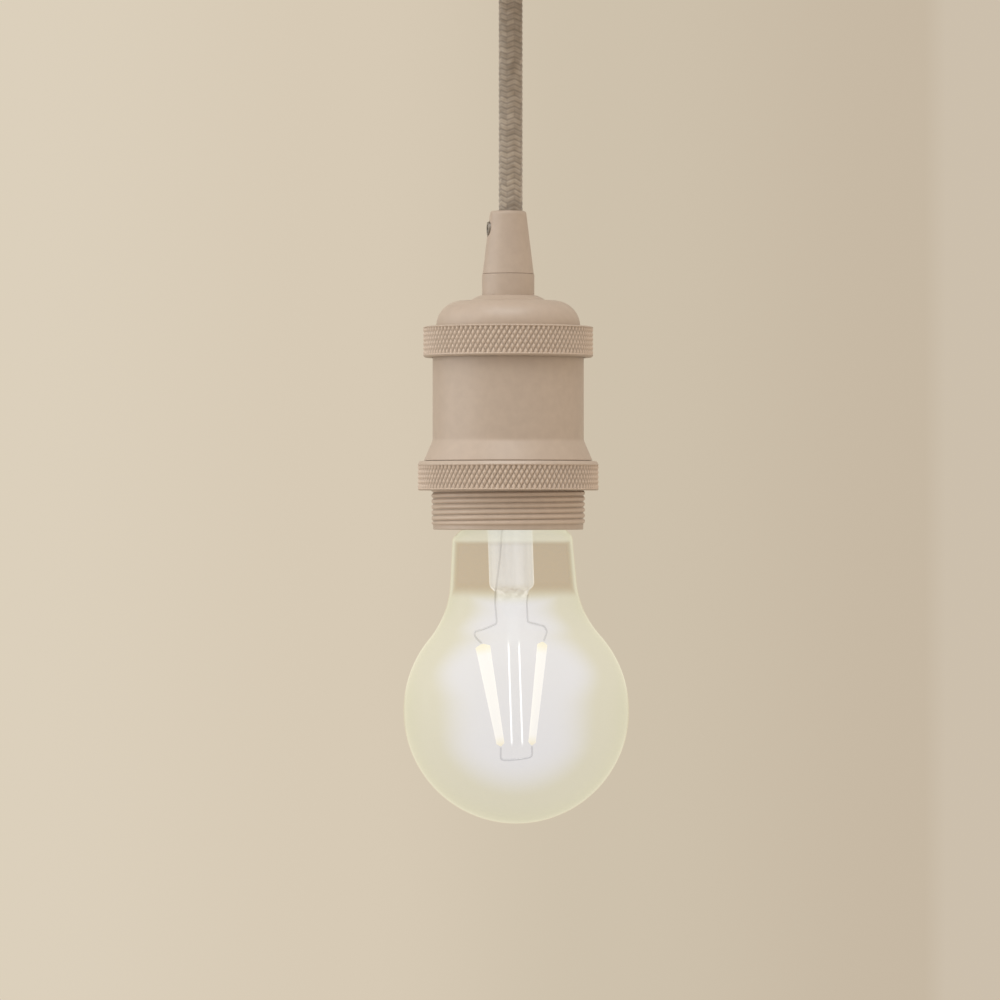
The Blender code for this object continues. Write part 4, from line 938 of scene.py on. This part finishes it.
# painted highlights on the rod's two edges
rod_edge_highlights = ramp(tree, facing, (0.0, dull), (0.2, dull), (0.4, bright), (1.0, bright))
# painted glow of the tube, standing for the light of the filaments
tube = ramp(tree, facing, (0.0, (0.64, 0.66, 0.68)), (0.5, (0.60, 0.61, 0.60)), (0.8, (0.66, 0.67, 0.63)))
streak = mapped(tree, noise(tree, 420, 2, (1, 1, 0.06)), 0.35, 0.65, 0.86, 1.1)
streaky = blended(tree, 1.0, tube, streak, "MULTIPLY")
pressed = sums(tree, "MULTIPLY", height_of(tree, -14.8, -16.0), height_of(tree, -19.5, -18.0))
# painted highlights on the press: white patches from noise
press_highlights = ramp(tree, noise(tree, 520, 2), (0.38, (0.40, 0.40, 0.41)), (0.5, (0.6, 0.6, 0.58)),
            (0.62, (0.95, 0.95, 0.95)))
glow_with_press_highlights = blended(tree, pressed, streaky, press_highlights)
tree.links.new(blended(tree, rod, glow_with_press_highlights, rod_edge_highlights), main.inputs["Emission Color"])
lines = ramp(tree, facing, (0.0, (0.08, 0.08, 0.08)), (0.22, (0.1, 0.1, 0.1)), (0.42, (0.7, 0.7, 0.7)))
held = sums(tree, "MULTIPLY", lines, height_of(tree, -57.8, -55.8))
tube_veil = mapped(tree, height_of(tree, -20.5, -16), 0, 1, 0.12, 0.52)
veil = add(tree, "ShaderNodeMix", {"Factor": rod, "A": tube_veil, "B": held}).outputs[0]
tree.links.new(veil, main.inputs["Alpha"])
fine = noise(tree, 500, 2)
tree.links.new(spread(tree, fine, 0.1, 0.2), main.inputs["Roughness"])
bump(tree, main, fine, 0.05)
finishes["stem_glass"] = made
print("finishes:", len(finishes))

# %% [markdown]
# A filament is a stick under a yellow coating. It is almost white along its middle, and the
# coating's yellow shows at its two ends, so its glow follows the UV map along the stick.

# %% filament finish
made, tree, main = shader("glowing_filament", (0.3, 0.25, 0.12), 0.5, Emission_Strength=1.0)
chart = add(tree, "ShaderNodeTexCoord").outputs["UV"]
along = add(tree, "ShaderNodeSeparateXYZ", {0: chart}).outputs[1]
hot = (0.82, 0.80, 0.77)
heat = ramp(tree, along, (0.0, (0.7, 0.58, 0.25)), (0.05, (0.78, 0.70, 0.42)), (0.14, hot), (0.86, hot),
            (1.0, (0.74, 0.62, 0.30)))
tree.links.new(heat, main.inputs["Emission Color"])
fine = noise(tree, 1500, 2)
tree.links.new(spread(tree, fine, 0.45, 0.6), main.inputs["Roughness"])
bump(tree, main, fine, 0.1)
finishes["phosphor"] = made
print("finishes:", len(finishes))

# %% [markdown]
# Each kept piece loses the plain material that it came with and gets the finish of its kind.

# %% dress the pieces
kept = {
    "dark_steel": ("ceiling_grip_screw",),
    "steel": ("ceiling_bracket", "cup_screw_left", "cup_screw_right", "insert_bracket", "insert_screw_front",
              "insert_screw_back", "earth_screw"),
    "nickel": ("earth_lug", "lamp_cap", "lamp_cap_contact"),
    "porcelain": ("porcelain_insert",),
    "black_glass": ("lamp_cap_insulator",),
    "capacitor_sleeve": ("driver_capacitor",),
    "nylon": ("ceiling_terminal_block",),
    "board": ("driver_board",),
    "live_insulation": ("ceiling_live_core", "holder_live_core"),
    "neutral_insulation": ("ceiling_neutral_core", "holder_neutral_core"),
    "earth_insulation": ("ceiling_earth_core", "holder_earth_core"),
    "brass": ("ceiling_nipple", "ceiling_nut", "ceiling_live_screw", "ceiling_neutral_screw",
              "ceiling_earth_screw", "holder_nipple", "holder_nut", "screw_shell", "centre_contact",
              "live_terminal", "neutral_terminal", "live_terminal_screw", "neutral_terminal_screw",
              "live_rivet", "neutral_rivet"),
}
for finish, names in kept.items():
    for name in names:
        nodes[name].data.materials.clear()
        nodes[name].data.materials.append(finishes[finish])
for made, (node, finish) in stands_for.items():
    made.data.materials.append(finishes[finish])
cable.data.materials.append(finishes["textile"])
print("dressed:", sum(len(names) for names in kept.values()), "kept pieces")

# %% [markdown]
# ## Room
#
# The light hangs before a pale beige wall that darkens to the right, up to a corner where the
# next wall begins. The wall could be lit to look so, but then the lamps would have to suit
# both it and the light. So its tone is written into its material, and only the camera,
# mirrors and glass see it. For all other rays the wall isn't there, so matt surfaces get no
# light or shade from it.


# %% wall and floor
def plain(name, corners, finish):
    """A single face of the room, which is no part of the light."""
    mesh = bpy.data.meshes.new(name)
    mesh.from_pydata(corners, [], [(0, 1, 2, 3)])
    mesh.materials.append(finish)
    made = bpy.data.objects.new(name, mesh)
    bpy.context.scene.collection.objects.link(made)
    return made


def seen_only(tree, shown, hidden):
    """Shows one shader to the camera, to glossy and to transmission rays, else the other."""
    path = add(tree, "ShaderNodeLightPath").outputs
    first = sums(tree, "MAXIMUM", path["Is Camera Ray"], path["Is Glossy Ray"])
    both = sums(tree, "MAXIMUM", first, path["Is Transmission Ray"])
    mix = add(tree, "ShaderNodeMixShader", {0: both})
    tree.links.new(hidden, mix.inputs[1])
    tree.links.new(shown, mix.inputs[2])
    return mix.outputs[0]


WALL_BEHIND, WALL_TOP, FLOOR_HEIGHT, SIDE = 2.5, 3, -2.4, 4
WALL_TONE = (0.66, 0.57, 0.44)
made, tree, main = shader("wall_tone", (0.6, 0.5, 0.4), 1.0)
place = add(tree, "ShaderNodeTexCoord").outputs["Object"]
across = add(tree, "ShaderNodeSeparateXYZ", {0: place}).outputs[0]
share = mapped(tree, across, -2, 2)
# from the left of the picture to the corner, which lies between the last two close stops
tone = ramp(tree, share, (0.2, WALL_TONE), (0.4075, (0.716, 0.631, 0.502)), (0.472, (0.680, 0.590, 0.462)),
            (0.5185, (0.617, 0.534, 0.413)), (0.5785, (0.568, 0.480, 0.368)), (0.5805, (0.606, 0.522, 0.412)),
            (0.8, WALL_TONE))
glow = add(tree, "ShaderNodeEmission", {"Color": tone})
clear = add(tree, "ShaderNodeBsdfTransparent")
tree.links.new(seen_only(tree, glow.outputs[0], clear.outputs[0]), tree.nodes["Material Output"].inputs[0])
plain("wall", [
    (-SIDE, WALL_BEHIND, FLOOR_HEIGHT), (SIDE, WALL_BEHIND, FLOOR_HEIGHT), (SIDE, WALL_BEHIND, WALL_TOP),
    (-SIDE, WALL_BEHIND, WALL_TOP)
], made)
made, tree, main = shader("floor_tone", (0.66, 0.59, 0.48), 0.9)
patch = spread(tree, noise(tree, 6, 3), 0, 1)
tree.links.new(blended(tree, patch, (0.65, 0.58, 0.47), (0.67, 0.60, 0.49)), main.inputs["Base Color"])
plain("floor", [
    (-SIDE, -SIDE, FLOOR_HEIGHT), (SIDE, -SIDE, FLOOR_HEIGHT), (SIDE, SIDE, FLOOR_HEIGHT),
    (-SIDE, SIDE, FLOOR_HEIGHT)
], made)
print("wall", WALL_BEHIND, "m behind the light, floor", -FLOOR_HEIGHT, "m below the ceiling")

# %% [markdown]
# ## Light
#
# The room is bright and even, so most of the light comes from the world. A large soft window
# stands on the left, light comes down from the ceiling, and a warm wall on the right gives a
# little back. One strong lamp would cut hard shadows that the photograph doesn't have.

# %% world and lamps
world = bpy.data.worlds.new("room")
bpy.context.scene.world = world
world.use_nodes = True
tree = world.node_tree
seen_tone = add(tree, "ShaderNodeBackground", {"Color": (*WALL_TONE, 1), "Strength": 1.0})
light_tone = add(tree, "ShaderNodeBackground", {"Color": (1.0, 0.975, 0.96, 1), "Strength": 0.78})
tree.links.new(seen_only(tree, seen_tone.outputs[0], light_tone.outputs[0]),
               tree.nodes["World Output"].inputs[0])

AWAY = 1.8
holder_middle = np.array([0, 0, skirt_end + 0.03])


def soft(name, turn, rise, size, share, colour):
    """A round soft lamp aimed at the holder, turned from the front and raised by angles in
    degrees. A share of 1 shows a surface that faces it as bright as its colour is written."""
    a, e = radians(turn), radians(rise)
    data = bpy.data.lights.new(name, "AREA")
    data.shape = "DISK"
    data.size = size
    data.energy = share * (pi * AWAY) ** 2
    data.color = colour
    made = bpy.data.objects.new(name, data)
    made.visible_camera = False
    made.location = holder_middle + AWAY * np.array([sin(a) * cos(e), -cos(a) * cos(e), sin(e)])
    made.rotation_euler = (pi / 2 - e, 0, a)
    bpy.context.scene.collection.objects.link(made)
    return made


lamps = [
    soft("side_window", -80, 12, 2.4, 0.48, (0.9, 0.97, 1.0)),
    soft("ceiling", -8, 68, 1.6, 0.67, (0.88, 0.95, 1.0)),
    soft("right_wall", 80, 5, 3.0, 0.15, (1.0, 0.72, 0.3)),
]
bpy.context.scene.view_settings.view_transform = "Standard"
print("lamps:", ", ".join(made.name for made in lamps))
